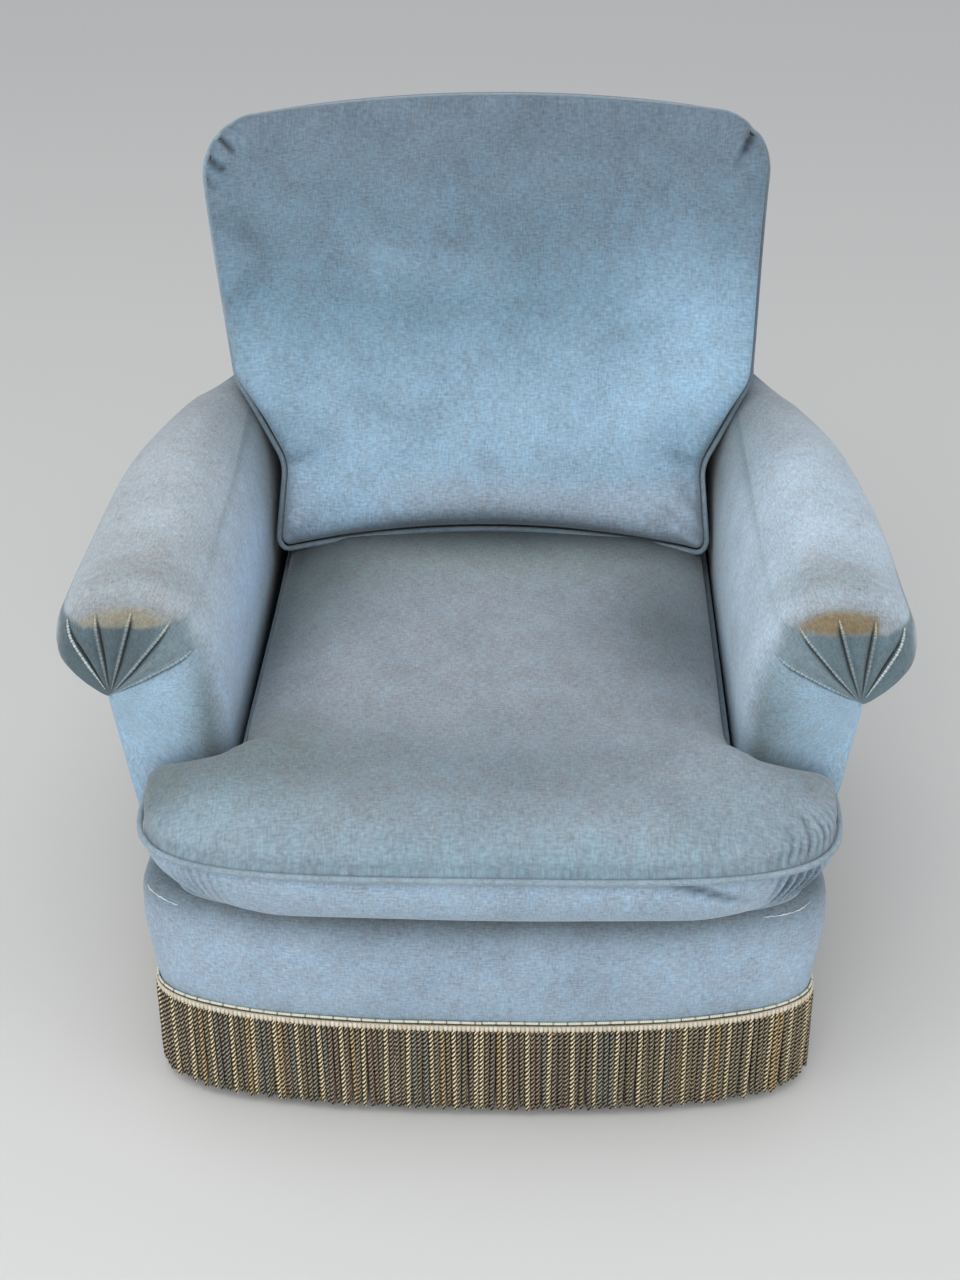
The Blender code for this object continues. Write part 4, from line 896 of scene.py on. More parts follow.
def pleat_relief(angle, radius):
    """Height of the pleats at a ray and a distance from the fan's point, and how much painted
    shade their valleys get. Each pleat is a narrow rolled edge with a deep crease on its inner
    side, and the cloth swells a little between them."""
    tip = np.interp(angle, pleat_angles, PLEAT_TIPS)
    grown = smooth_step(0.008, 0.050, radius) * (1 - smooth_step(tip - 0.020, tip + 0.003, radius))
    step = pleat_angles[1] - pleat_angles[0]
    phase = np.clip((angle - PLEAT_FIRST) / step, 0, PLEATS - 1)
    height = grown * PLEAT_SWELL * np.sin(np.pi * (phase % 1.0)) ** 2
    crease = np.zeros_like(radius)
    for crest in pleat_angles:
        away = np.radians(angle - crest) * radius
        width = PLEAT_WIDTH * (0.5 + 0.5 * grown)
        ridge = np.exp(-((away / width) ** 2) * 1.6)
        beside = np.exp(-(((away - 1.2 * width) / width) ** 2) * 2.2)
        height = height + grown * (PLEAT_HEIGHT * ridge - PLEAT_VALLEY * beside)
        crease = crease + beside * (1 - smooth_step(tip - 0.014, tip + 0.001, radius))
    return height, crease


rays = fan_rays()
parts = np.linspace(0.04, 0.985, 30)
turns = np.radians(np.linspace(0, 90, 15))
backs = np.concatenate([np.linspace(-0.236, -0.18, 6), np.linspace(-0.165, 0.17, 26)])


def arm_ring(y):
    """(ray, x, z) from the inner foot round to the outer foot at one distance back."""
    outline, fan = arm_outline(y)
    known = np.degrees(np.arctan2(outline[:-1, 1] - fan[1], outline[:-1, 0] - fan[0])) % 360
    least = known[-1] + 0.2 + 0.3 * (rays - FAN_LOW)
    kept = np.minimum(np.maximum(rays, least), known[0] - 0.5)
    body = read_at(kept[::-1], known[::-1], outline[:-1][::-1])[::-1]
    within = SIDE_ROOM * smooth_step(-0.2945, -0.2898, y)
    foot_x = float(side_surface(y, ARM_FOOT)) - within
    head = [[known[0], *outline[0]]]
    fan_x = fan[0] - within
    side = [[270.0, fan_x + (foot_x - fan_x) * t, fan[1] + (ARM_FOOT - fan[1]) * t]
            for t in (0.06, 0.3, 0.5, 0.75, 1.0)]
    low = [[250.0, foot_x + (outline[0, 0] - foot_x) * t, ARM_FOOT] for t in (0.33, 0.66)]
    return np.vstack([head, np.column_stack([rays, body]), [[0.0, *fan]], side, low]), fan


ARM_TOP = linear(170, 180, 188)
ARM_TOP_RIGHT = linear(178, 195, 209)
ARM_TOP_REAR = linear(148, 154, 160)
# Painted light on the arms' inner sides, brightest on the left arm.
ARM_INNER_PAINTED_LIGHT = linear(184, 214, 244)
ARM_INNER_RIGHT_PAINTED_LIGHT = linear(182, 205, 221)
ARM_INNER_LOW_PAINTED_LIGHT = linear(152, 198, 226)
ARM_FRONT_PALE = linear(137, 144, 147)
# Painted shade under the outer roll of the scroll.
ARM_OUTER_SHADE = linear(116, 125, 130)
ARM_REAR_SHADE = linear(96, 113, 118)
FACING_BLUE = linear(161, 190, 211)
# Painted shade on the arm's face behind the seat cushion's ear and along its foot.
FACING_EAR_SHADE = linear(116, 132, 136)
FAN_GROUND = linear(92, 111, 119)
FAN_PALE_GROUND = linear(122, 141, 149)
# Painted shade for the pleats' creases.
FAN_CREASE_SHADE = linear(34, 42, 48)
FAN_CORDS = (linear(188, 198, 198), linear(128, 140, 144), linear(134, 147, 150),
             linear(146, 162, 168), linear(150, 169, 178))
FAN_OCHRE = (linear(129, 114, 87), linear(140, 136, 120))
FAN_TIP = linear(178, 174, 154)
FAN_DUSTY = linear(134, 138, 140)


def spokes(ring, fan):
    """The lengths and directions of the lines from the fan's point to a ring's points."""
    spoke = ring[:, 1:] - fan
    length = np.linalg.norm(spoke, axis=1)
    return length, spoke / np.maximum(length, 1e-9)[:, None]


def arm_skin(side):
    """One arm's rings, from the fan's point over its face and round to the back, how much painted
    shade the creases give each point, the ray of each point in a ring, and the fan's point."""
    front, fan = arm_ring(ARM_FRONT_Y)
    angle = front[:, 0]
    fixed = angle == 270.0
    rings, dark = [], []
    length, unit = spokes(front, fan)
    inset = np.minimum(ARM_ROUND_INSET, 0.75 * length)
    for part in parts:
        reach = np.where(fixed, length, length - inset) * part
        rise, crease = pleat_relief(angle, reach)
        rise = np.where(angle > 160.0, 0.0, rise)
        point = fan - (FAN_SHIFT * (1 - part), 0.0) + unit * reach[:, None]
        z = np.maximum(point[:, 1], ARM_FOOT)
        rings.append(np.column_stack([side * point[:, 0], ARM_FRONT_Y - rise, z]))
        dark.append(crease * smooth_step(0.004, 0.02, reach))
    for turn in turns:
        y = ARM_FRONT_Y + ARM_ROUND_DEPTH * (1 - math.cos(turn))
        ring, here = arm_ring(y)
        length, unit = spokes(ring, here)
        inset = np.minimum(ARM_ROUND_INSET, 0.75 * length) * (1 - math.sin(turn))
        fade = max(0.0, math.cos(turn)) ** 0.8
        rise, crease = pleat_relief(angle, np.where(fixed, length, length - inset))
        rise = np.where(angle > 160.0, 0.0, rise) * fade
        reach = np.where(fixed, length, length - inset + 0.7 * rise)
        point = here + unit * reach[:, None]
        z = np.where(ring[:, 2] <= ARM_FOOT + 1e-6, ARM_FOOT, np.maximum(point[:, 1], ARM_FOOT))
        rings.append(np.column_stack([side * point[:, 0], y - 0.7 * rise, z]))
        dark.append(crease * fade)
    for y in backs:
        ring, _ = arm_ring(y)
        rings.append(np.column_stack([side * ring[:, 1], np.full(len(ring), y), ring[:, 2]]))
    last, _ = arm_ring(ARM_STATIONS[-1])
    previous = rings[-1]
    end = np.column_stack([side * last[:, 1], back_surface(last[:, 2]) - 0.0006, last[:, 2]])
    rings += [previous + (end - previous) * part for part in (0.35, 0.7, 1.0)]
    dark += [np.zeros(len(angle))] * (len(rings) - len(dark))
    rings = np.array(rings)
    worn = np.sin(rings[..., 1] * 23.0 + rings[..., 2] * 31.0) * np.sin(rings[..., 0] * 41.0)
    body = smooth_step(ARM_FRONT_Y + 0.03, ARM_FRONT_Y + 0.12, rings[..., 1])
    high = smooth_step(0.44, 0.54, rings[..., 2])
    rings[..., 2] -= 0.0016 * worn * body * high
    return rings, np.clip(np.array(dark), 0, 1), angle, fan


def mixed(a, b, part):
    return np.asarray(a) + (np.asarray(b) - np.asarray(a)) * np.asarray(part)


def between(value, low, full, fading, gone):
    """1 where a value lies between full and fading, less beyond them, 0 at low and at gone."""
    return smooth_step(low, full, value) * (1 - smooth_step(fading, gone, value))


def arm_tone(side, rings, dark, angle):
    """One arm's colours: its top and inner side, the face beside the seat, and the fan of
    pleats on its darker ground, each arm faded in its own way. Painted light brightens the inner
    side; painted shade darkens the outer roll's underside, the rear of the inner side, the face
    behind the seat cushion's ear and the pleats' creases."""
    right = side > 0

    def at(x, y, z):
        return (side * x, y, z)

    tone = toned(
        rings, ARM_TOP_RIGHT if right else ARM_TOP,
        (ARM_TOP_REAR, at(0.32, 0.16, 0.56), (0.09, 0.14, 0.08), 0.85),
        (ARM_INNER_RIGHT_PAINTED_LIGHT if right else ARM_INNER_PAINTED_LIGHT, at(0.25, -0.02, 0.44), (0.050, 0.40, 0.090),
         0.95),
        (ARM_INNER_LOW_PAINTED_LIGHT, at(0.25, 0.0, 0.33), (0.060, 0.60, 0.055), 0.9),
        (ARM_FRONT_PALE, at(0.35, -0.25, 0.58), (0.07, 0.05, 0.04), 0.75),
        (ARM_OUTER_SHADE, at(0.45, -0.10, 0.46), (0.035, 0.35, 0.045), 0.7),
        (ARM_REAR_SHADE, at(0.27, 0.15, 0.46), (0.06, 0.11, 0.12), 0.92),
    )
    ray = np.broadcast_to(angle, dark.shape)
    row = np.zeros(len(rings))
    row[len(parts):len(parts) + len(turns)] = np.degrees(turns)
    row[len(parts) + len(turns):] = 180.0
    bend = np.broadcast_to(row[:, None], dark.shape)
    height = rings[..., 2] + 0.0008 * np.sin(ray * 0.23 + 1.3)
    face_zone = smooth_step(149.0, 152.0, ray) * (1 - smooth_step(20.0, 75.0, bend))
    face_colour = toned(rings, FACING_BLUE,
                        (FACING_EAR_SHADE, at(0.280, -0.29, 0.38),
                         (0.042 if right else 0.026, 0.06, 0.20), 0.95),
                        (FACING_EAR_SHADE, at(0.33, -0.30, 0.285), (0.12, 0.06, 0.020), 0.7))
    tone = mixed(tone, face_colour, face_zone[..., None])
    dusty = between(ray, 40.0, 62.0, 128.0, 158.0) * (1 - smooth_step(30.0, 66.0, bend))
    tone = mixed(tone, FAN_DUSTY, (0.75 * dusty)[..., None])
    across = between(ray, 52.0, 62.0, 126.0, 142.0)
    below = 1 - smooth_step(FAN_EDGE_Z - 0.0024, FAN_EDGE_Z + 0.0024, height)
    fan_zone = mixed(1 - smooth_step(26.0, 62.0, bend), below, across)
    fan_zone *= between(ray, 2.0, 20.0, 149.5, 152.0)
    pale_end = smooth_step(112.0, 146.0, ray)[..., None]
    ground = mixed(FAN_GROUND * (1.12 if right else 0.84), FAN_PALE_GROUND, pale_end)
    tone = mixed(tone, ground, (0.95 * fan_zone)[..., None])
    ends = (82.0, 88.0, 126.0, 133.0) if right else (58.0, 70.0, 118.0, 142.0)
    far = (26.0, 42.0) if right else (16.0, 38.0)
    band = between(ray, *ends) * (1 - below) * (1 - smooth_step(*far, bend))
    tone = mixed(tone, FAN_OCHRE[0 if right else 1], (0.95 * band)[..., None])
    # Painted shade in the pleats' creases, nearly black.
    near = dark * smooth_step(0.0, 4.0, ray) * (1 - smooth_step(40.0, 70.0, bend))
    return mixed(tone, FAN_CREASE_SHADE, (0.85 * near)[..., None])


arm_velvet = velvet("arm_velvet")
arm_skins = {}
for side, word in ((1, "right"), (-1, "left")):
    rings, dark, angle, fan = arm_skin(side)
    arm_skins[word] = rings, angle, fan
    cloth = measured(rings)
    cloth[..., 0] = path_run(np.vstack([rings[CLOTH_ROW], rings[CLOTH_ROW, :1]]))
    arm = lofted(f"{word}_arm_cover", rings, cloth[..., ::-1],
                 arm_tone(side, rings, dark, angle), arm_velvet)
    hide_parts(f"{word}_arm")

pleat_velvet = velvet("pleat_velvet", ribs=0.3)
for word, (rings, angle, fan) in arm_skins.items():
    for number, (crest, tip) in enumerate(zip(pleat_angles, PLEAT_TIPS), start=1):
        column = int(np.abs(angle - crest).argmin())
        line = rings[:len(parts) + len(turns), column]
        away = np.hypot(np.abs(line[:, 0]) - fan[0], line[:, 2] - fan[1])
        path = evenly(line[(away > 0.009) & (away < tip)], CORD_STEP, closed=False)
        run = np.arange(len(path)) * CORD_STEP
        grown = smooth_step(0.0, 0.035, run) * (1 - 0.75 * smooth_step(
            run[-1] - 0.012, run[-1], run))
        notch = np.sin(2 * np.pi * run / 0.0031 + 0.9 * np.sin(run * 900.0))
        radius = CORD_THICK * (0.45 + 0.75 * grown) * (1 + 0.34 * notch)
        path = path + np.array([0.0, -0.92, 0.38]) * (0.0004 + 0.0003 * notch)[:, None]
        dye = FAN_CORDS[number - 1]
        # Painted shade in each notch of the twist, a little lighter on the swells between.
        shade = mixed(dye * 0.60, dye * 1.08, (0.5 + 0.5 * notch)[:, None])
        if number in (2, 3, 4):
            bleached = smooth_step(run[-1] - 0.022, run[-1] - 0.006, run)
            shade = mixed(shade, FAN_TIP, 0.8 * bleached[:, None])
        tube(f"{word}_pleat_{number}", path, radius, pleat_velvet, shade,
             sides=6, closed=False)


# ---- Outside arms ----
# Velvet over hessian and thin wadding, back-tacked under the scroll and nailed below the rail,
# with a pale welt down its front edge.

BEND_REAR_PAD = 0.0483
ARM_RAIL_TOP = 0.4517
ARM_POST_FRONT_Y = -0.2879
PANEL_THICK = 0.0060
WELT_Y = -0.2925
WELT_RADIUS = 0.0032
WELT_PALE = linear(176, 194, 205)
OUTSIDE_BLUE = linear(146, 160, 170)
OUTSIDE_LOW = linear(122, 134, 142)


def post_rear(z):
    """Y of the back frame's rear face at a height."""
    return back_surface(z) + BEND_REAR_PAD


def crowned(name, loop, place, depth_out, depth_in, crown, tone, material):
    """A padded panel over a flat outline: place(points, depth) sets it in the chair, and its
    face rises by crown away from the edges. It closes round a flat rear."""
    flat, faces = filled(loop, COVER_SPACING)
    reach = edge_reach(flat, loop)
    rise = crown * (1 - np.exp(-reach / 0.030)) + 0.0012 * (1 - np.exp(-reach / 0.003))
    count = len(flat)
    verts = np.vstack([place(flat, depth_out + rise - 0.0012),
                       place(flat, np.full(count, depth_in))])
    i = np.arange(len(loop))
    j = (i + 1) % len(loop)
    edge = np.column_stack([i, i + count, j + count, j])
    back = faces[:, ::-1]
    return skinned(name, verts, [*faces, *(back + count), *edge],
                   [*flat[faces], *flat[back], *flat[edge % count]], material, tone(verts))


outside_velvet = velvet("outside_velvet", ribs=0.8)
forward = ARM_FRONT_Y - 0.0004
step_z = ARM_FOOT - 0.0005
outline = [(forward, FABRIC_BOTTOM), (forward, step_z), (ARM_POST_FRONT_Y, step_z),
           (ARM_POST_FRONT_Y, ARM_RAIL_TOP), (float(post_rear(ARM_RAIL_TOP)), ARM_RAIL_TOP),
           (float(post_rear(BEND_Z)), BEND_Z), (float(post_rear(FABRIC_BOTTOM)), FABRIC_BOTTOM)]


def outside_tone(points):
    return toned(points, OUTSIDE_BLUE,
                 (OUTSIDE_LOW, (0.0, 0.0, 0.13), (1.0, 1.0, 0.05), 0.9),
                 (BORDER_SIDE, (0.0, -0.32, 0.21), (1.0, 0.10, 0.10), 0.7))


for side, word in ((1, "right"), (-1, "left")):
    def place(flat, depth, side=side):
        return np.column_stack([side * (side_surface(flat[:, 0], flat[:, 1]) + depth), flat])

    panel = crowned(f"{word}_outside_arm_cover", evenly(outline, 0.012), place, 0.0,
                    -PANEL_THICK, 0.0030, outside_tone, outside_velvet)
    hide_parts(f"{word}_outside_arm")
    down = np.linspace(ARM_SIZES["fan_z"][0] - 0.004, ARM_FOOT - 0.001, 60)
    edge = np.column_stack([side * (side_surface(WELT_Y, down) - 0.0012),
                            np.full(len(down), WELT_Y), down])
    tube(f"{word}_arm_welt", edge, WELT_RADIUS, pleat_velvet, WELT_PALE,
         closed=False)


# ---- Back ----
# The inside back is stuffed over webbing on the raked frame. Most of it is behind the loose
# cushion. The outside back is one flat panel from the top down to the fringe, sewn by hand.

BACK_HALF = 0.322
BACK_TOP = 0.790
BACK_CORNER_RADIUS = 0.080
BACK_EDGE = 0.024  # each of the two rows of cloth round the inside back
BACK_PANEL_THICK = 0.0053
INNER_FOOT_HALF = 0.2617
BACK_SHADE = linear(112, 128, 142)
BACK_REAR_BLUE = linear(140, 158, 172)
back_velvet = velvet("back_velvet", ribs=0.8)


def rounded(corners, step):
    """An open outline through (x, y, radius) corners, each rounded by an arc."""
    points = [corners[0][:2]]
    for before, (x, y, radius), after in zip(corners, corners[1:], corners[2:]):
        here = Vector((x, y))
        back = (Vector(before[:2]) - here).normalized()
        on = (Vector(after[:2]) - here).normalized()
        angle = back.angle(on)
        centre = here + (back + on).normalized() * radius / math.sin(angle / 2)
        start = here + back * radius / math.tan(angle / 2) - centre
        sweep = start.angle_signed(here + on * radius / math.tan(angle / 2) - centre)
        count = max(2, math.ceil(abs(sweep) * radius / step))
        for i in range(count + 1):
            spoke = start.copy()
            spoke.rotate(Matrix.Rotation(-sweep * i / count, 2))
            points.append(tuple(centre + spoke))
    return points + [corners[-1][:2]]


half = rounded([(0.0, ARM_FOOT, 0), (INNER_FOOT_HALF, ARM_FOOT, 0.004),
                (INNER_FOOT_HALF, ARM_RAIL_TOP, 0.004), (BACK_HALF, ARM_RAIL_TOP, 0.004),
                (BACK_HALF, BACK_TOP, BACK_CORNER_RADIUS), (0.0, BACK_TOP, 0)], 0.008)
back_loop = evenly(mirrored(half), 0.012)
flat, faces = filled(back_loop, COVER_SPACING)
reach = edge_reach(flat, back_loop)
soft = 0.0060 * (1 - np.exp(-reach / 0.004))
face_side = np.column_stack([flat[:, 0], back_surface(flat[:, 1]) + 0.0060 - soft, flat[:, 1]])
rear_row = np.column_stack([back_loop[:, 0], post_rear(back_loop[:, 1]), back_loop[:, 1]])
count = len(flat)
n = len(back_loop)
verts = np.vstack([face_side, (face_side[:n] + rear_row) / 2, rear_row])
polygons = list(faces)
cloth = list(flat[faces])
around = np.append(path_run(back_loop), loop_length(back_loop))
for i in range(n):
    j = (i + 1) % n
    for near, far, depth in ((0, count, 0.0), (count, count + n, BACK_EDGE)):
        polygons.append((near + i, far + i, far + j, near + j))
        cloth.append([(around[i], depth), (around[i], depth + BACK_EDGE),
                      (around[i + 1], depth + BACK_EDGE), (around[i + 1], depth)])
inside_tone = toned(verts, BACK_SHADE,
                    (BACK_REAR_BLUE, (0.0, 0.46, 0.80), (0.6, 0.08, 0.04), 0.8))
inside_back = skinned("inside_back_cover", verts, polygons, cloth, back_velvet, inside_tone)
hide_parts("inside_back")

half = rounded([(0.0, FABRIC_BOTTOM, 0), (BASE_REAR_HALF, FABRIC_BOTTOM, 0.003),
                (BASE_REAR_HALF, BACK_TOP, BACK_CORNER_RADIUS), (0.0, BACK_TOP, 0)], 0.008)
rear_outline = evenly(mirrored(half), 0.014)


def behind(flat, depth):
    return np.column_stack([flat[:, 0], post_rear(flat[:, 1]) + 0.0003 + depth, flat[:, 1]])


def rear_tone(points):
    return toned(points, BACK_REAR_BLUE,
                 (OUTSIDE_LOW, (0.0, 0.3, 0.13), (1.0, 1.0, 0.06), 0.8),
                 (BORDER_SIDE, (0.0, 0.45, 0.72), (0.25, 1.0, 0.16), 0.5),
                 (BACK_SHADE, (0.10, 0.3, 0.30), (0.16, 1.0, 0.12), 0.4))


outside_back = crowned("outside_back_cover", rear_outline, behind, BACK_PANEL_THICK, 0.0, 0.0040,
                       rear_tone, back_velvet)
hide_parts("outside_back")


# ---- Seat cushion ----
# A loose boxed cushion of feather and kapok with ears round the arms' fronts: two velvet panels
# joined by a side strip, with piping in both seams. The corners' fullness is gathered in.

SEAT_FRONT_Y = -0.4675
SEAT_EAR_HALF = 0.3580
SEAT_SHIFT = 0.0060
SEAT_SKEW = 0.008
SEAT_BOW_DEPTH = 0.140
SEAT_BOW_POWER = 4.0
SEAT_EAR_REAR_Y = -0.3125
SEAT_HALF = 0.2570
SEAT_REAR_Y = 0.2360
SEAT_BOTTOM = 0.2812
SEAT_LOWER_SEAM = 0.2852
SEAT_TUCK = 0.034
SEAT_UPPER_SEAM = 0.3540
SEAT_NOSE = (0.078, 0.047)
SEAT_BELLY = 0.0095
SEAT_DOME = 0.007
SEAT_HEAP = 0.034
SEAM_INSET = 0.0045
HEM_ROWS = (0.0012, 0.0032, 0.0060, 0.0095, 0.0140, 0.0200)
PIPING_RADIUS = 0.0033
SEAT_CAP = 0.0035
STUFFING_PRESSURE = 4.0
STUFFING_FRAMES = 20
PANEL_SPACING = 0.010
UNDER_SPACING = 0.020


def outward(loop):
    """The outward unit normal at each point of a closed counterclockwise outline."""
    along = np.roll(loop, -1, axis=0) - np.roll(loop, 1, axis=0)
    along /= np.linalg.norm(along, axis=1)[:, None]
    return np.column_stack([along[:, 1], -along[:, 0]])


def graded(loop, spacing, close, near):
    """A closed outline's points set afresh, closer together where near(points) says so."""
    dense = evenly(loop, 0.0008)
    share = np.where(near(dense), 1 / close, 1 / spacing)
    share = np.convolve(np.concatenate([share[-20:], share, share[:20]]), np.ones(41) / 41,
                        mode="valid")
    gone = np.append(0.0, np.cumsum(share))
    count = round(gone[-1] * loop_length(dense) / len(dense))
    return read_at(np.linspace(0, gone[-1], count, endpoint=False), gone,
                   np.vstack([dense, dense[:1]]))


def drawn_in(loop, distance):
    """A closed outline moved inwards, with as many points and without the crossings that its
    tight corners would make."""
    moved = loop - outward(loop) * distance
    if abs(distance) < 0.006:
        return moved
    kept = moved[edge_reach(moved, loop) > 0.98 * abs(distance)]
    path = evenly(kept, 0.0015)
    away = ((loop[:, None] - path[None]) ** 2).sum(axis=2)
    nearest = np.unwrap(away.argmin(axis=1) * 2 * np.pi / len(path))
    steady = path_run(loop) * 2 * np.pi / loop_length(loop)
    slack = nearest - steady
    around = np.concatenate([slack[-12:], slack, slack[:12]])
    slack = np.convolve(around, np.ones(25) / 25, mode="valid")
    at = (steady + slack) / (2 * np.pi) * len(path)
    whole = np.vstack([path, path, path, path[:1]])
    return read_at(at + len(path), np.arange(len(whole)), whole)


def seat_point(plan, z):
    """A point of the seat cushion, whose ears have been pushed a little to the right."""
    shift = SEAT_SHIFT * smooth_step(0.25, 0.31, -plan[:, 1])
    return np.column_stack([plan[:, 0] + shift, plan[:, 1], np.broadcast_to(z, len(plan))])


def plumped(item, pinned, most):
    """Blows a cover up with cloth simulation. Pinned points stay and none moves further than
    most."""
    group = item.vertex_groups.new(name="seams")
    group.add(pinned, 1.0, "REPLACE")
    cloth = item.modifiers.new("stuffing", "CLOTH")
    settings = cloth.settings
    settings.vertex_group_mass = "seams"
    settings.quality = 6
    settings.mass = 0.3
    settings.tension_stiffness = 18
    settings.compression_stiffness = 18
    settings.shear_stiffness = 8
    settings.bending_stiffness = 0.6
    settings.use_pressure = True
    settings.uniform_pressure_force = STUFFING_PRESSURE
    settings.effector_weights.gravity = 0
    cloth.point_cache.frame_start = 1
    cloth.point_cache.frame_end = STUFFING_FRAMES
    for number in range(1, STUFFING_FRAMES + 1):
        scene.frame_set(number)
    blown = item.evaluated_get(bpy.context.evaluated_depsgraph_get()).data
    count = len(item.data.vertices)
    before = np.empty(count * 3, np.float32)
    after = np.empty(count * 3, np.float32)
    item.data.vertices.foreach_get("co", before)
    blown.vertices.foreach_get("co", after)
    moved = (after - before).reshape(-1, 3)
    length = np.linalg.norm(moved, axis=1)
    share = most * np.tanh(length / most) / np.maximum(length, 1e-9)
    done = before.reshape(-1, 3) + moved * share[:, None]
    item.modifiers.remove(cloth)
    item.vertex_groups.remove(group)
    item.data.vertices.foreach_set("co", done.astype(np.float32).ravel())
    item.data.update()
    scene.frame_set(1)


def beside(points, loop):
    """For each point of a panel, the outward normal of the seam nearest to it and how far along
    the seam it lies."""
    nearest = ((points[:, None] - loop[None]) ** 2).sum(axis=2).argmin(axis=1)
    out = outward(loop)[nearest]
    ahead = np.column_stack([-out[:, 1], out[:, 0]])
    return out, path_run(loop)[nearest] + ((points - loop[nearest]) * ahead).sum(axis=1)


def nosed(reach, depth, height):
    """The round nose of a stuffed panel: its height at a reach from the seam, and the outward
    and upward parts of its normal."""
    part = np.clip(1 - reach / depth, 0, 1)
    rise = np.sqrt(1 - part ** 2)
    size = np.hypot(part / depth, rise / height)
    return height * rise, part / depth / size, rise / height / size


def bellied(reach, most, near=0.010):
    """How far a panel bellies out over its seam."""
    return most * reach / near * np.exp((1 - (reach / near) ** 2) / 2)


def boxed(name, loop, top, bottom, strip, tone, material, fine):
    """A cushion cover. top(points, reach) and bottom(points, reach) set its two panels in the
    chair, and strip holds the rows of points between the seams. Close rows run round the top
    panel beside its seam, and fine(points) says where its lattice is twice as close. Returns
    the cover and the points that stay in the simulation."""
    hems = [drawn_in(loop, distance) for distance in HEM_ROWS]
    flat, faces = filled(hems[-1], PANEL_SPACING, fine)
    low_flat, low_faces = filled(loop, UNDER_SPACING)
    low_faces = low_faces[:, ::-1]
    n = len(loop)
    collar = [top(ring, edge_reach(ring, loop)) for ring in hems[-2::-1]]
    collar.append(top(loop, np.zeros(n)))
    lower = bottom(low_flat, edge_reach(low_flat, loop))
    verts = np.vstack([top(flat, edge_reach(flat, loop)), *collar, *strip, lower])
    base = len(verts) - len(lower)
    rows = [0, *range(len(flat), base + 1, n)]
    polygons = [*faces, *(low_faces + base)]
    cloth = [*flat[faces], *low_flat[low_faces]]
    plans = hems[::-1] + [loop]
    around = np.append(path_run(loop), loop_length(loop))
    whole = np.stack([collar[-1], *strip, lower[:n]])
    down = np.concatenate([np.zeros(len(collar) + 1), np.cumsum(
        np.linalg.norm(np.diff(whole, axis=0), axis=2).mean(axis=1))])
    for k, (near, far) in enumerate(zip(rows, rows[1:])):
        for i in range(n):
            j = (i + 1) % n
            polygons.append((near + i, far + i, far + j, near + j))
            if k < len(collar):
                cloth.append([plans[k][i], plans[k + 1][i], plans[k + 1][j], plans[k][j]])
            else:
                cloth.append([(around[i], -down[k]), (around[i], -down[k + 1]),
                              (around[i + 1], -down[k + 1]), (around[i + 1], -down[k])])
    spots = np.vstack([flat, *hems[-2::-1], *[loop] * (len(strip) + 1), low_flat])
    made = skinned(name, verts, polygons, cloth, material, tone(verts, spots))
    return made, [*range(rows[len(collar)], rows[len(collar)] + n), *range(base, len(verts))]


def creased(points, lines):
    """How far soft folds lift or sink the cloth at points in a plane. Each line has its start,
    its end, its half width and its height, below zero for a valley."""
    total = np.zeros(len(points))
    for start, end, width, height in lines:
        start, end = np.array(start), np.array(end)
        side = end - start
        part = np.clip((points - start) @ side / (side @ side), 0, 1)
        away = np.linalg.norm(points - start - part[:, None] * side, axis=1)
        fade = np.clip(np.sin(np.pi * np.clip(part * 0.9 + 0.08, 0, 1)), 0, 1) ** 0.5
        total += height * fade * np.exp(-((away / width) ** 2))
    return total


front = bow(SEAT_EAR_HALF, SEAT_BOW_DEPTH, SEAT_BOW_POWER, SEAT_FRONT_Y + SEAT_BOW_DEPTH, 200)
rest = rounded([(SEAT_EAR_HALF, SEAT_FRONT_Y + SEAT_BOW_DEPTH, 0),
                (SEAT_EAR_HALF, SEAT_EAR_REAR_Y, 0.016),
                (SEAT_HALF + 0.002, SEAT_EAR_REAR_Y, 0.030),
                (SEAT_HALF, SEAT_REAR_Y, 0.035), (0.0, SEAT_REAR_Y, 0)], 0.003)


def at_ears(points):
    return (np.abs(points[:, 0]) > 0.26) & (points[:, 1] < -0.34)


seat_loop = graded(mirrored([*front, *rest[1:]]), 0.0050, 0.0024, at_ears)
seat_loop[:, 0] += SEAT_SKEW * smooth_step(0.15, 0.24, -seat_loop[:, 0]) * smooth_step(
    -0.34, 0.12, seat_loop[:, 1])
seat_normals = outward(seat_loop)
seat_seam = seat_loop - seat_normals * SEAM_INSET
seat_lower = drawn_in(seat_loop, SEAT_TUCK + SEAM_INSET)
seat_along = path_run(seat_loop)
right_ear = float(seat_along[np.argmin(((seat_loop - (0.333, -0.445)) ** 2).sum(axis=1))])
left_ear = float(seat_along[np.argmin(((seat_loop - (-0.316, -0.453)) ** 2).sum(axis=1))])

seat_lines = [
    ((0.20, -0.435), (0.29, -0.385), 0.010, -0.0022),
    ((0.10, -0.430), (0.24, -0.410), 0.012, 0.0015),
    ((-0.30, -0.40), (-0.20, -0.43), 0.010, -0.0014),
    ((-0.24, -0.20), (-0.20, 0.00), 0.012, -0.0016),
    ((0.24, -0.24), (0.21, -0.05), 0.012, -0.0018),
    ((0.255, -0.30), (0.20, -0.33), 0.009, -0.0020),
    ((-0.255, -0.30), (-0.20, -0.33), 0.009, -0.0020),
    ((-0.12, -0.10), (0.10, -0.12), 0.020, 0.0012),
    ((0.05, 0.02), (0.20, 0.06), 0.016, -0.0014),
    ((-0.20, 0.05), (-0.05, 0.08), 0.018, 0.0012),
    ((-0.335, -0.335), (-0.340, -0.42), 0.0035, -0.0012),
    ((-0.325, -0.34), (-0.328, -0.43), 0.004, -0.0010),
]
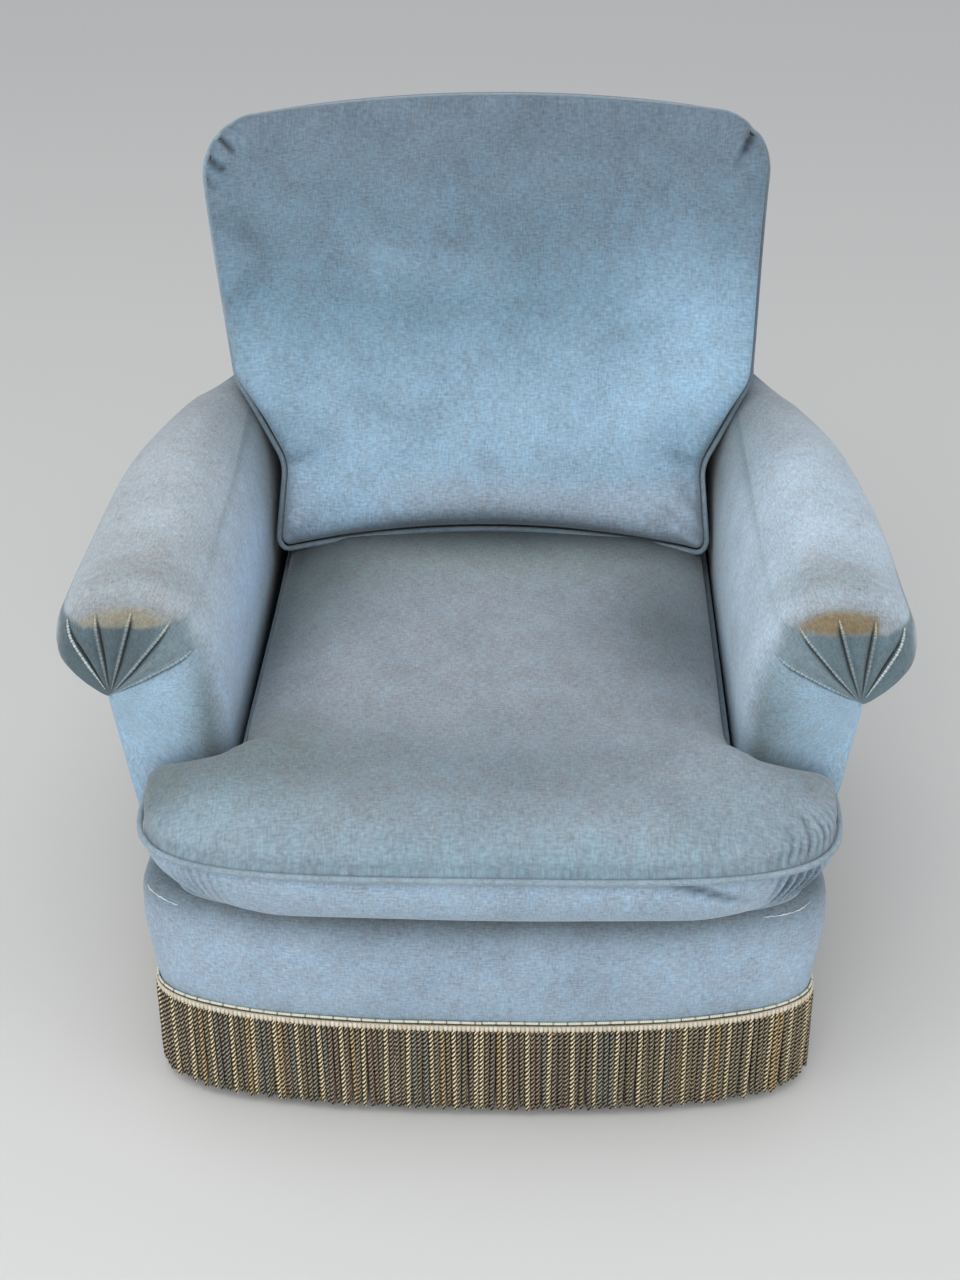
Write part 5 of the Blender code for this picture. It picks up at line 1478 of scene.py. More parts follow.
seat_gathers = [  # place beside the corner, run inwards, half width, depth
    (-0.050, 0.008, 0.0018, 0.0026), (-0.040, 0.013, 0.0020, 0.0040),
    (-0.029, 0.020, 0.0022, 0.0056), (-0.018, 0.015, 0.0020, 0.0044),
    (-0.006, 0.028, 0.0024, 0.0064), (0.0055, 0.016, 0.0020, 0.0044),
    (0.0165, 0.026, 0.0024, 0.0060), (0.0280, 0.018, 0.0022, 0.0046),
    (0.0400, 0.022, 0.0026, 0.0036), (0.0520, 0.016, 0.0028, 0.0024),
]


def gathered(along, reach):
    """How deep the gathers at the right front corner are, along its seam and inwards of it."""
    total = np.zeros(len(along))
    for place, run, width, depth in seat_gathers:
        away = along - right_ear - place - 0.70 * reach
        shown = smooth_step(0.0, 0.0022, reach) * (1 - smooth_step(0.5 * run, 1.3 * run, reach))
        total += depth * shown * np.exp(-((away / width) ** 2))
    return total


def seat_top(flat, reach):
    beside_arm = smooth_step(0.19, 0.24, np.abs(flat[:, 0])) * smooth_step(-0.34, -0.27, flat[:, 1])
    rise, out, up = nosed(reach, SEAT_NOSE[0] - 0.036 * beside_arm, SEAT_NOSE[1])
    dome = SEAT_DOME * np.clip(1 - (flat[:, 0] / 0.30) ** 2, 0, 1) * smooth_step(0, 0.12, reach)
    tired = 0.0016 * np.sin(flat[:, 0] * 17 + 1.0) * np.sin(flat[:, 1] * 13 - 0.6)
    tired *= smooth_step(0.01, 0.06, reach)
    heap = ((np.abs(flat[:, 0]) - 0.262) / 0.058) ** 2 + ((flat[:, 1] + 0.318) / 0.045) ** 2
    rise = rise + SEAT_HEAP * np.exp(-heap) * smooth_step(0.0, 0.030, reach)
    fold = creased(flat, seat_lines) * smooth_step(0.0, 0.010, reach)
    normals, along = beside(flat, seat_seam)
    fold -= gathered(along, reach)
    ahead = smooth_step(0.36, 0.30, np.abs(flat[:, 0])) * smooth_step(-0.37, -0.41, flat[:, 1])
    belly = SEAT_BELLY - 0.0030 * ahead
    plan = flat + normals * (bellied(reach, belly) + fold * out)[:, None]
    return seat_point(plan, SEAT_UPPER_SEAM + rise + dome + tired + fold * up)


def seat_under(flat, reach):
    """The bottom panel lies flat on the platform, drawn in under the cushion's sides."""
    nearest = np.array([np.argmin(((seat_seam - p) ** 2).sum(axis=1)) for p in flat])
    shown = flat + (seat_lower - seat_seam)[nearest] * np.exp(-reach / 0.060)[:, None]
    z = SEAT_BOTTOM + (SEAT_LOWER_SEAM - SEAT_BOTTOM) * np.exp(-reach / 0.010)
    return seat_point(shown, z)


def strip_folds(along, height):
    """Folds in the side strip: slanting below the gathers at the right corner, slight at the
    left one, and one long soft fold between."""
    part = np.clip((height - SEAT_LOWER_SEAM) / (SEAT_UPPER_SEAM - SEAT_LOWER_SEAM), 0, 1)
    right = np.exp(-(((along - right_ear + 0.012) / 0.030) ** 4))
    left = np.exp(-(((along - left_ear) / 0.024) ** 4))
    lines = np.sin(2 * np.pi * (along - 0.020 * part) / 0.0112)
    shape = (np.abs(lines) ** 1.5 * np.sign(lines) - 0.3) * right * 0.0058
    shape += np.sin(2 * np.pi * (along + 0.012 * part) / 0.0100) * left * 0.0024
    shape *= np.sin(np.pi * np.minimum(1.0, 0.10 + part * 0.9)) ** 0.5
    spots = np.column_stack([along, height])
    return shape + creased(spots, [((0.180, 0.352), (0.258, 0.322), 0.0050, -0.0052),
                                   ((0.196, 0.338), (0.262, 0.310), 0.0070, 0.0022)])


seat_strip = []
for depth, z, tuck in (
        (0.0040, 0.3528, 0.0), (0.0040, 0.3500, 0.0), (0.0022, 0.3460, 0.0005),
        (0.0002, 0.3405, 0.0015), (-0.0012, 0.3345, 0.003), (-0.0016, 0.3280, 0.005),
        (-0.0012, 0.3215, 0.007), (0.0000, 0.3148, 0.009), (0.0020, 0.3080, 0.011),
        (0.0044, 0.3020, 0.012), (0.0080, 0.2965, 0.013), (0.0130, 0.2915, 0.012),
        (0.0200, 0.2880, 0.008), (0.0280, 0.2862, 0.004)):
    wave = strip_folds(seat_along, np.full(len(seat_along), z))
    sag = 0.0010 * np.sin(seat_loop[:, 0] * 21.0 + z * 90.0) * smooth_step(0.354, 0.34, z)
    ears = smooth_step(0.20, 0.33, np.abs(seat_loop[:, 0])) * smooth_step(-0.30, -0.34,
                                                                         seat_loop[:, 1])
    plan = mixed(drawn_in(seat_loop, depth), drawn_in(seat_loop, depth + 1.5 * tuck),
                 ears[:, None])
    seat_strip.append(seat_point(plan + seat_normals * (wave + sag)[:, None], z))

SEAT_GREY = linear(143, 152, 161)
SEAT_REAR = linear(131, 145, 140)
# Painted shade on the seat's rear beside the arms.
SEAT_REAR_SHADE = linear(86, 99, 100)
SEAT_SHADE = linear(96, 106, 112)
SEAT_FRONT = linear(113, 128, 137)
# Painted light on the seat's front rounding and painted highlight on the gathers' crests.
SEAT_HIGHLIGHT = linear(130, 154, 166)
SEAT_EAR = linear(98, 112, 113)
# Painted shade in the gathers and in the side strip's folds.
SEAT_FOLD_SHADE = linear(62, 76, 86)
# Painted shade on the seat under the back cushion's edge and along the gaps by the arms.
SEAT_CREVICE_SHADE = linear(48, 63, 70)
# Painted shade in the seat's rear corners by the arms and back.
SEAT_CORNER_SHADE = linear(36, 46, 52)
BOXING_BLUE = linear(152, 173, 191)


def seat_tone(points, spots):
    side_strip = smooth_step(0.3545, 0.3500, points[:, 2])[:, None]
    top = toned(
        points, SEAT_GREY,
        (SEAT_FRONT, (0.0, -0.36, 0.39), (0.22, 0.08, 0.10), 0.8),
        (SEAT_HIGHLIGHT, (0.0, -0.47, 0.37), (0.50, 0.050, 0.05), 0.9),
        (SEAT_HIGHLIGHT, (0.27, -0.40, 0.38), (0.08, 0.06, 0.05), 0.5),
        (SEAT_HIGHLIGHT * 1.2, (-0.27, -0.41, 0.38), (0.08, 0.04, 0.05), 0.8),
        (SEAT_SHADE, (0.21, -0.08, 0.40), (0.092, 0.15, 0.10), 1.0),
        (SEAT_SHADE, (-0.24, -0.05, 0.40), (0.055, 0.22, 0.10), 0.8),
        (SEAT_REAR, (0.0, 0.07, 0.40), (0.20, 0.06, 0.10), 0.7),
        (SEAT_REAR_SHADE, (0.23, 0.09, 0.40), (0.06, 0.06, 0.10), 0.5),
        (SEAT_REAR_SHADE, (-0.22, 0.04, 0.40), (0.10, 0.13, 0.10), 1.0),
        (SEAT_CREVICE_SHADE, (0.02, 0.112, 0.40), (0.34, 0.055, 0.08), 1.0),
        (SEAT_CREVICE_SHADE, (-0.257, -0.05, 0.40), (0.030, 0.15, 0.10), 0.7),
        (SEAT_CREVICE_SHADE, (0.265, -0.04, 0.40), (0.016, 0.16, 0.10), 0.6),
        (SEAT_CORNER_SHADE, (-0.232, 0.085, 0.40), (0.018, 0.040, 0.10), 0.8),
        (SEAT_CORNER_SHADE, (0.256, 0.100, 0.40), (0.020, 0.032, 0.10), 0.9),
        (SEAT_EAR, (-0.23, -0.33, 0.39), (0.10, 0.07, 0.10), 0.80),
        (SEAT_EAR, (-0.32, -0.35, 0.37), (0.05, 0.05, 0.06), 1.0),
        (SEAT_EAR, (0.32, -0.34, 0.37), (0.05, 0.03, 0.06), 0.5),
    )
    _, along = beside(spots, seat_seam)
    reach = edge_reach(spots, seat_seam)
    # Painted shade in the gathers' hollows and painted highlight on their crests.
    hollow_shade = np.clip(gathered(along, reach) / 0.006, 0, 1)
    crest = np.clip(gathered(along - 0.0052, reach) / 0.008, 0, 1)
    top = mixed(mixed(top, SEAT_HIGHLIGHT * 1.15, 0.6 * crest[:, None]), SEAT_FOLD_SHADE,
                0.70 * hollow_shade[:, None])
    # Painted shade in the side strip's folds.
    sunk_shade = np.clip(-strip_folds(along, points[:, 2]) / 0.0050, 0, 1)[:, None]
    strip = mixed(BOXING_BLUE, SEAT_FOLD_SHADE, 0.90 * sunk_shade)
    return mixed(top, strip, side_strip)


def seat_fine(points):
    return (points[:, 1] < -0.385) & ((points[:, 0] > 0.26) | (points[:, 0] < -0.29))


DIRT = linear(60, 66, 70)
seat_velvet = velvet("seat_velvet", specks=(
    ((0.230, -0.458, 0.374), 0.0022, DIRT), ((0.286, -0.433, 0.385), 0.0020, DIRT)))
seat, pins = boxed("seat_cushion_cover", seat_seam, seat_top, seat_under, seat_strip, seat_tone,
                   seat_velvet, seat_fine)
plumped(seat, pins, SEAT_CAP)
finer = seat.modifiers.new("finer", "SUBSURF")
finer.levels = finer.render_levels = 1
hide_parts("seat_cushion")

PIPING_TONE = linear(139, 157, 168)
# Painted shade on the piping in the gaps by the arms and under the back cushion.
PIPING_SHADE = linear(88, 104, 114)
piping_velvet = velvet("piping_velvet", ribs=0.7)
for name, path, node in (
        ("seat_piping_top_cord", seat_point(seat_loop, SEAT_UPPER_SEAM), "seat_piping_top"),
        ("seat_piping_bottom_cord", seat_point(drawn_in(seat_loop, SEAT_TUCK),
                                               SEAT_LOWER_SEAM), "seat_piping_bottom")):
    cord = tube(name, path, PIPING_RADIUS, piping_velvet,
                toned(path, PIPING_TONE,
                      (PIPING_SHADE, (0.26, 0.0, 0.35), (0.03, 0.30, 0.1), 0.8),
                      (PIPING_SHADE, (-0.26, 0.0, 0.35), (0.03, 0.30, 0.1), 0.8)))
    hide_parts(node)


# ---- Back cushion ----
# A loose boxed cushion, plump in front and flat behind, cut narrow between the arms and wide
# above them. It is tired: its top has slipped to the left, and its corners are puckered.

CUSHION_FRONT_Y = 0.1025
CUSHION_LEVEL = 0.400
CUSHION_LEAN = 0.55
CUSHION_REAR_GAP = 0.004
CUSHION_TOP_BOW = 0.022
CUSHION_BOTTOM_BOW = 0.024
CUSHION_SLOUCH = 0.012
CUSHION_NOSE = (0.080, 0.047)
CUSHION_BELLY = 0.0150
CUSHION_CAP = 0.0035
face_normal = np.array([0.0, -1.0, CUSHION_LEAN]) / math.hypot(1.0, CUSHION_LEAN)

half = rounded([(0.0, 0.391, 0), (0.2570, 0.391, 0.014), (0.2480, 0.482, 0.040),
                (0.3050, 0.570, 0.050), (0.3390, 0.8385, 0.055), (0.0, 0.8385, 0)], 0.003)
half = np.array(half)
straight = [half[0]]
for here, there in zip(half, half[1:]):
    count = max(1, round(float(np.linalg.norm(there - here)) / 0.004))
    straight += [here + (there - here) * k / count for k in range(1, count + 1)]
straight = np.array(straight)
lift = np.where(straight[:, 1] > 0.75,
                CUSHION_TOP_BOW * np.clip(1 - (straight[:, 0] / 0.30) ** 2, 0, 1),
                np.where(straight[:, 1] < 0.41,
                         CUSHION_BOTTOM_BOW * np.clip(1 - (straight[:, 0] / 0.25) ** 2, 0, 1), 0))
bent = np.column_stack([straight[:, 0], straight[:, 1] + lift])


def at_corners(points):
    return (np.abs(points[:, 0]) > 0.26) & (points[:, 1] > 0.76)


cushion_loop = graded(mirrored(bent), 0.0050, 0.0026, at_corners)
cushion_normals = outward(cushion_loop)
for spot, width, depth in (((0.316, 0.828), 0.0080, 0.0030), ((-0.318, 0.826), 0.0060, 0.0008),
                           ((-0.331, 0.808), 0.0060, 0.0008)):
    away = ((cushion_loop - spot) ** 2).sum(axis=1) / width ** 2
    cushion_loop = cushion_loop - cushion_normals * (depth * np.exp(-away))[:, None]
cushion_normals = outward(cushion_loop)
cushion_seam = cushion_loop - cushion_normals * SEAM_INSET


def slouch(flat):
    part = smooth_step(0.50, 0.80, flat[:, 1])
    return flat[:, 0] - CUSHION_SLOUCH * part, flat[:, 1] + CUSHION_SLOUCH * flat[:, 0] * part


def cushion_front(flat):
    x, z = slouch(flat)
    return np.column_stack([x, CUSHION_FRONT_Y + CUSHION_LEAN * (z - CUSHION_LEVEL), z])


def cushion_rear(flat):
    x, z = slouch(flat)
    low = z - 0.030 * smooth_step(0.60, 0.85, z) - 0.014 * (1 - smooth_step(0.40, 0.47, z))
    return np.column_stack([x * 0.985, back_surface(low) - CUSHION_REAR_GAP, low])


cushion_lines = [
    ((-0.3230, 0.8250), (-0.2920, 0.8000), 0.0032, -0.0078),
    ((-0.3320, 0.8090), (-0.3010, 0.7790), 0.0034, -0.0088),
    ((-0.3340, 0.7970), (-0.3110, 0.7660), 0.0032, -0.0070),
    ((-0.3130, 0.8290), (-0.2860, 0.8180), 0.0032, -0.0046),
    ((0.3190, 0.8360), (0.3020, 0.8000), 0.0034, -0.0120),
    ((0.3060, 0.8080), (0.2930, 0.7780), 0.0046, -0.0040),
    ((0.3140, 0.8360), (0.2960, 0.8230), 0.0030, 0.0032),
    ((0.3120, 0.8280), (0.2980, 0.8180), 0.0028, -0.0014),
    ((-0.305, 0.735), (-0.262, 0.700), 0.0110, -0.0030),
    ((-0.300, 0.640), (-0.255, 0.690), 0.012, -0.0022),
    ((-0.246, 0.484), (-0.205, 0.492), 0.0060, -0.0036),
    ((0.246, 0.484), (0.205, 0.496), 0.0070, -0.0032),
    ((0.252, 0.402), (0.200, 0.440), 0.0045, -0.0026),
    ((0.240, 0.398), (0.190, 0.418), 0.0045, -0.0022),
    ((0.256, 0.415), (0.215, 0.470), 0.0050, -0.0022),
    ((-0.250, 0.402), (-0.205, 0.432), 0.0050, -0.0020),
    ((-0.15, 0.70), (0.05, 0.66), 0.022, 0.0016),
    ((0.12, 0.60), (0.24, 0.64), 0.018, -0.0018),
    ((-0.20, 0.56), (-0.06, 0.52), 0.020, -0.0016),
    ((0.00, 0.50), (0.16, 0.48), 0.018, 0.0014),
]


def on_seat(points):
    """Keeps a cushion's points above the seat cushion."""
    plan = points[:, :2].copy()
    plan[:, 1] = np.minimum(plan[:, 1], SEAT_REAR_Y - 0.006)
    under = inside(plan, seat_seam)
    reach = np.where(under, edge_reach(plan, seat_seam), 0.0)
    points[:, 2] = np.maximum(points[:, 2], seat_top(plan, reach)[:, 2] + 0.0015)
    return points


def cushion_face(flat, reach):
    rise, out, up = nosed(reach, *CUSHION_NOSE)
    fold = creased(flat, cushion_lines) * smooth_step(0.0, 0.007, reach)
    fold += 0.0018 * np.sin(flat[:, 0] * 15 + 0.4) * np.sin(flat[:, 1] * 17) * smooth_step(
        0.01, 0.07, reach)
    normals, _ = beside(flat, cushion_seam)
    free = 0.35 + 0.65 * smooth_step(0.47, 0.60, flat[:, 1])
    plan = flat + normals * (bellied(reach, CUSHION_BELLY) * free + fold * out)[:, None]
    points = cushion_front(plan) + face_normal * (rise + fold * up)[:, None]
    low = flat[:, 1] < 0.46
    points[low] = on_seat(points[low])
    return points


def cushion_back(flat, reach):
    made = cushion_rear(flat)
    made[:, 1] += 0.0030 * (1 - np.exp(-reach / 0.010))
    return made


cushion_strip = []
for part, bulge in ((0.06, 0.0008), (0.16, 0.0024), (0.28, 0.0036), (0.42, 0.0042),
                    (0.56, 0.0042), (0.70, 0.0040), (0.84, 0.0024), (0.94, 0.0010)):
    row = mixed(cushion_front(cushion_loop), cushion_rear(cushion_loop), part)
    wide = bulge * smooth_step(0.55, 0.62, cushion_loop[:, 1])
    row[:, 0] += cushion_normals[:, 0] * wide
    row[:, 2] += cushion_normals[:, 1] * wide
    cushion_strip.append(on_seat(row))

CUSHION_TOP = linear(103, 119, 133)
CUSHION_UPPER = linear(107, 129, 145)
CUSHION_MIDDLE = linear(114, 143, 161)
# A paler band low on the cushion, and the painted highlight on its folds' crests.
CUSHION_PALE_AND_HIGHLIGHT = linear(143, 171, 191)
CUSHION_FOOT = linear(165, 180, 195)
CUSHION_RIGHT = linear(158, 191, 215)
# Painted shade along the back cushion's foot and on its lower boxing sides.
CUSHION_EDGE_SHADE = linear(76, 93, 103)
# Painted shade in the folds and darts.
CUSHION_FOLD_SHADE = linear(50, 62, 72)
LINT = linear(206, 212, 214)


def cushion_tone(points, spots):
    height = points[:, 2:]
    colour = mixed(CUSHION_UPPER, CUSHION_TOP, smooth_step(0.76, 0.86, height))
    colour = mixed(CUSHION_MIDDLE, colour, smooth_step(0.64, 0.74, height))
    colour = mixed(CUSHION_PALE_AND_HIGHLIGHT, colour, smooth_step(0.55, 0.68, height))
    colour = mixed(CUSHION_FOOT, colour, smooth_step(0.45, 0.51, height))
    over = toned(points, (0.0, 0.0, 0.0),
                 ((1.0, 1.0, 1.0), (0.24, 0.25, 0.60), (0.10, 0.2, 0.105), 0.95),
                 ((1.0, 1.0, 1.0), (-0.17, 0.12, 0.45), (0.07, 0.1, 0.05), 0.9))[:, :1]
    colour = mixed(colour, CUSHION_RIGHT, over)
    # Painted highlight on the folds' crests and painted shade in their valleys and darts.
    folds = creased(spots, cushion_lines)[:, None]
    colour = mixed(colour, CUSHION_PALE_AND_HIGHLIGHT, 0.6 * np.clip(folds / 0.003, 0, 1))
    colour = mixed(colour, CUSHION_FOLD_SHADE, 0.90 * np.clip(-folds / 0.0065, 0, 1) ** 1.3)
    # Painted shade on the lower boxing sides.
    depth = points[:, 1:2] - (CUSHION_FRONT_Y + CUSHION_LEAN * (height - CUSHION_LEVEL))
    colour = mixed(colour, CUSHION_EDGE_SHADE, 0.8 * smooth_step(0.004, 0.012, depth) * (
        1 - smooth_step(0.50, 0.60, height)))
    # Painted shade along the bottom edge, above the seat.
    turned = height + 0.8 * points[:, :1] ** 2
    return mixed(colour, CUSHION_EDGE_SHADE, 0.95 * (1 - smooth_step(0.424, 0.462, turned)))


def cushion_fine(points):
    return ((points[:, 1] > 0.785) & (np.abs(points[:, 0]) > 0.27)) | (
        (points[:, 1] < 0.45) & (points[:, 0] > 0.18))


cushion_velvet = velvet("cushion_velvet", specks=(
    ((0.207, 0.285, 0.812), 0.0020, LINT), ((0.197, 0.290, 0.816), 0.0017, LINT)))
cushion, pins = boxed("back_cushion_cover", cushion_seam, cushion_face, cushion_back,
                      cushion_strip, cushion_tone, cushion_velvet,
                      cushion_fine)
plumped(cushion, pins, CUSHION_CAP)
finer = cushion.modifiers.new("finer", "SUBSURF")
finer.levels = finer.render_levels = 1
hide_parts("back_cushion")

for name, path, node in (
        ("back_piping_front_cord", cushion_front(cushion_loop), "back_piping_front"),
        ("back_piping_rear_cord", cushion_rear(cushion_loop), "back_piping_rear")):
    cord = tube(name, path, PIPING_RADIUS, piping_velvet,
                toned(path, PIPING_TONE,
                      (PIPING_SHADE, (0.0, 0.11, 0.405), (0.24, 0.05, 0.03), 0.85),
                      (PIPING_SHADE, (0.32, 0.25, 0.65), (0.06, 0.30, 0.18), 0.8),
                      (PIPING_SHADE, (-0.30, 0.15, 0.45), (0.08, 0.30, 0.08), 0.6)))
    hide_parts(node)


# ---- Fringe heading ----
# The fringe hangs from a woven cotton band of cream ribs. It is sewn along the foot of the
# covers, under a thin olive line and a cream cord that small dark stitches hold down.

BAND_TOP = 0.1338
RIB_PITCH = 0.0048
RIB_HEIGHT = 0.1294
LINE_HEIGHT = 0.1346
LINE_RADIUS = 0.0007
CORD_HEIGHT = 0.1370
CORD_RADIUS = 0.0015
CORD_SPACING = 0.0012
STITCH_PITCH = 0.0150
HEADING_CREAM = linear(244, 236, 222)
CORD_CREAM = linear(252, 252, 238)
LINE_OLIVE = linear(104, 102, 88)
CORNER_RADIUS = 0.004


def base_loop(out, spacing):
    """The foot of the covers in plan, moved outwards."""
    front = bow(BASE_HALF + out, BOW_DEPTH + out, BOW_POWER, BOW_END_Y, 160)
    corners = [(BASE_HALF + out, BOW_END_Y, 0),
               (BASE_REAR_HALF + out, BASE_REAR_Y + out, CORNER_RADIUS + max(out, 0.0)),
               (0.0, BASE_REAR_Y + out, 0)]
    return evenly(mirrored([*front, *rounded(corners, 0.002)[1:]]), spacing)


def yarn(name, dye, slant, pitch, gap_shade, gloss=0.8):
    """Twisted cotton yarn: diagonal plies with painted shade between them, wound round the cord.
    dye(tree) gives its colour, and gap_shade how much of it is left in the painted shade between
    the plies."""
    made = bpy.data.materials.new(name)
    tree = node_tree(made)
    place = add_node(tree, "ShaderNodeUVMap", uv_map="cloth").outputs[0]
    split = add_node(tree, "ShaderNodeSeparateXYZ", {0: place})
    colour = dye(tree)
    run = reckoned(tree, "MULTIPLY_ADD", split.outputs[0], slant, split.outputs[1])
    wave = reckoned(tree, "SINE", reckoned(tree, "MULTIPLY", run, 2 * math.pi / pitch))
    ply = spanned(tree, wave, -0.20, 0.65, 0.0, 1.0)
    fluff = stretched_noise(tree, place, (1400.0, 500.0, 1.0), 2.0)
    lit = add_node(tree, "ShaderNodeVectorMath", {
        0: colour, "Scale": spanned(tree, fluff, 0.3, 0.75, 0.86, 1.22)}, operation="SCALE")
    # Painted shade in the grooves between the plies.
    deep = add_node(tree, "ShaderNodeVectorMath", {0: colour, 1: gap_shade}, operation="MULTIPLY")
    shown = mixed_colour(tree, ply, deep.outputs[0], lit.outputs[0])
    return finished(made, tree, shown, gloss, ply, 0.0011, 0.8, {"Specular IOR Level": 0.3})


def own_tone(tree):
    return add_node(tree, "ShaderNodeAttribute", attribute_name="tone").outputs["Color"]


foot = base_loop(0.0006, 0.004)
foot_normals = outward(foot)
band_section = [(0.0000, 0.1264), (0.0018, 0.1264), (0.0022, 0.1275), (0.0024, 0.1300),
                (0.0022, 0.1325), (0.0016, BAND_TOP), (0.0010, 0.1346), (0.0008, 0.1360),
                (0.0000, 0.1362)]
rings = np.array([np.column_stack([foot + foot_normals * out, np.full(len(foot), z)])
                  for out, z in band_section + band_section[:1]])
band_tone = np.empty_like(rings)
band_tone[:] = HEADING_CREAM * 0.8
band_tone[6:8] = LINE_OLIVE
band_yarn = yarn("heading_yarn", own_tone, 0.2, 0.0016, (0.62, 0.60, 0.55))
band = lofted("fringe_heading_band", rings, measured(rings), band_tone, band_yarn,
              capped=False)
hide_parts("fringe_heading")

rib_points = []
for z, size in ((-0.0036, 0.55), (-0.0030, 1.0), (0.0000, 1.12), (0.0030, 1.0), (0.0036, 0.55)):
    turn = np.linspace(0, 2 * np.pi, 6, endpoint=False)
    rib_points += [(0.0020 * size * math.cos(a), 0.0012 * size * math.sin(a), z) for a in turn]
rib_faces = [(6 * k + i, 6 * k + (i + 1) % 6, 6 * k + 6 + (i + 1) % 6, 6 * k + 6 + i)
             for k in range(4) for i in range(6)]
rib_faces += [tuple(range(6))[::-1], tuple(range(24, 30))]
rib_cloth = [((k % 6) * 0.0020, (k // 6) * 0.0018) for face in rib_faces for k in face]
rib = new_mesh("heading_rib", rib_points, rib_faces, rib_cloth)
rib_made, tree, body = new_material("heading_ribs")
chance = add_node(tree, "ShaderNodeAttribute", attribute_name="yarn").outputs["Fac"]
soil = stretched_noise(tree, body, (60.0, 60.0, 60.0), 3.0)
thread = stretched_noise(tree, body, (900.0, 900.0, 900.0), 2.0)
pale = mixed_colour(tree, chance, tuple(HEADING_CREAM * 1.06), tuple(linear(214, 198, 172)))
grimy = mixed_colour(tree, soil, pale, tuple(linear(208, 198, 178)))
finished(rib_made, tree, grimy, 0.85, thread, 0.0005, 0.5, {"Specular IOR Level": 0.3})
rib_path = np.column_stack([foot + foot_normals * 0.0022, np.full(len(foot), RIB_HEIGHT)])
along_path("fringe_heading_ribs", rib_path, rib, RIB_PITCH, rib_made, seed=7,
           lean=0.05, spread=0.04)

cord_path = base_loop(0.0014, CORD_SPACING)
gone = np.arange(len(cord_path)) * CORD_SPACING
near = np.abs((gone + STITCH_PITCH / 2) % STITCH_PITCH - STITCH_PITCH / 2)
held = np.exp(-((near / 0.0007) ** 2))
cord_yarn = yarn("heading_cord", own_tone, 0.6, 0.0022, (0.70, 0.69, 0.62))
cord_path = np.column_stack([cord_path, CORD_HEIGHT + 0.0003 * np.sin(gone * 55.0)])
tube("fringe_heading_cord", cord_path, CORD_RADIUS * (1 - 0.30 * held), cord_yarn,
     mixed(CORD_CREAM, LINE_OLIVE, held[:, None]), sides=6)
line_path = base_loop(0.0024, 0.004)
tube("fringe_heading_line", np.column_stack([line_path, np.full(len(line_path), LINE_HEIGHT)]),
     LINE_RADIUS, cord_yarn, LINE_OLIVE, sides=6)


# ---- Bullion fringe ----
# Cotton cords of two plies hang side by side all round, down to just over the floor. Most are
# dark olive, teal and brown, and every third or fourth is cream. They lean and end unevenly.

FRINGE_BOTTOM = 0.0100
STRAND_TOP = 0.1266
STRAND_PITCH = 0.0060
STRAND_RADIUS = 0.0028
STRAND_PLY = 0.0058
STRAND_STARTS = 3
STRAND_LEAN = 0.016
STRAND_SPREAD = 0.024
CREAM_EVERY = 4.0
STRAND_CREAM = linear(255, 238, 198)
STRAND_SHADES = (linear(174, 164, 140), linear(176, 164, 136), linear(166, 164, 150),
                 linear(180, 160, 140), linear(168, 154, 138), linear(222, 196, 150))


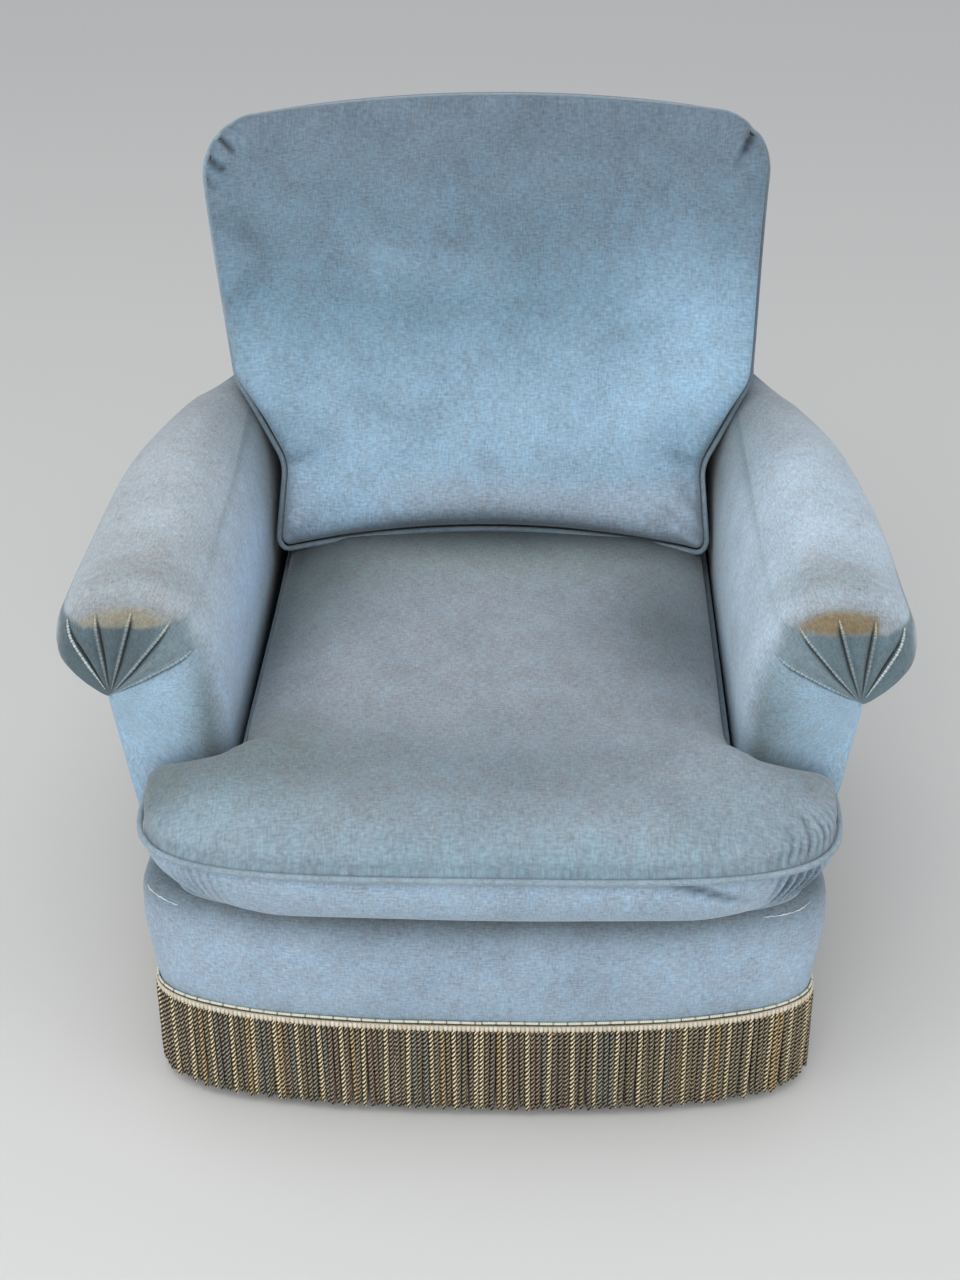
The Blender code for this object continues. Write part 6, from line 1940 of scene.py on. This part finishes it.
def strand(name, rings, sides):
    """One hanging cord of the fringe, drawn in a little at its top and at its foot."""
    levels = np.linspace(0, STRAND_TOP - FRINGE_BOTTOM - 0.0034, rings)
    sizes = np.full(rings, STRAND_RADIUS)
    sizes[0] *= 0.80
    sizes[-1] *= 0.86
    verts = []
    for number, (size, level) in enumerate(zip(sizes, levels)):
        turn = 2 * np.pi * np.arange(sides) / sides + 0.35 * number
        verts += [(size * math.cos(a), size * math.sin(a), -level) for a in turn]
    step = 2 * math.pi * STRAND_RADIUS / sides
    faces, cloth = [], []
    for row in range(rings - 1):
        for k in range(sides):
            j = (k + 1) % sides
            faces.append((row * sides + k, (row + 1) * sides + k, (row + 1) * sides + j,
                          row * sides + j))
            cloth += [(k * step, levels[row]), (k * step, levels[row + 1]),
                      ((k + 1) * step, levels[row + 1]), ((k + 1) * step, levels[row])]
    faces.append(tuple((rings - 1) * sides + k for k in range(sides))[::-1])
    cloth += [(k * step, levels[-1]) for k in range(sides)][::-1]
    faces.append(tuple(range(sides)))
    cloth += [(k * step, 0.0) for k in range(sides)]
    return new_mesh(name, verts, faces, cloth)


def strand_colour(tree):
    """Each cord's colour from its own random number and its place in the row."""
    chance = add_node(tree, "ShaderNodeAttribute", attribute_name="yarn").outputs["Fac"]
    order = add_node(tree, "ShaderNodeAttribute", attribute_name="order").outputs["Fac"]
    ramp = add_node(tree, "ShaderNodeValToRGB", {0: chance})
    stops = ramp.color_ramp
    stops.interpolation = "CONSTANT"
    stops.elements[0].color = (*STRAND_SHADES[0], 1.0)
    stops.elements[1].position = 0.86
    stops.elements[1].color = (*STRAND_SHADES[-1], 1.0)
    for number, place in enumerate((0.26, 0.44, 0.60, 0.74), start=1):
        stop = stops.elements.new(place)
        stop.color = (*STRAND_SHADES[number], 1.0)
    shift = reckoned(tree, "MULTIPLY_ADD", chance, 0.35, order)
    cream = reckoned(tree, "LESS_THAN", reckoned(tree, "MODULO", shift, CREAM_EVERY), 1.0)
    return mixed_colour(tree, cream, ramp.outputs[0], tuple(STRAND_CREAM))


# The bullion's plies get nearly black painted shade between them.
strand_yarn = yarn("bullion_yarn", strand_colour,
                   STRAND_STARTS * STRAND_PLY / (2 * math.pi * STRAND_RADIUS), STRAND_PLY,
                   (0.05, 0.04, 0.035), gloss=0.78)
for name, out, piece, pitch, seed in (
        ("bullion_cords", 0.0024, strand("cord", 11, 6), STRAND_PITCH, 11),
        ("bullion_cords_behind", -0.0014, strand("inner_cord", 6, 5), STRAND_PITCH * 1.04, 23)):
    hang = base_loop(out, 0.004)
    hung = np.column_stack([hang, np.full(len(hang), STRAND_TOP)])
    cords = along_path(name, hung, piece, pitch, strand_yarn, seed,
                       lean=STRAND_LEAN, spread=STRAND_SPREAD)
    if name == "bullion_cords":
        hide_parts("bullion_fringe")
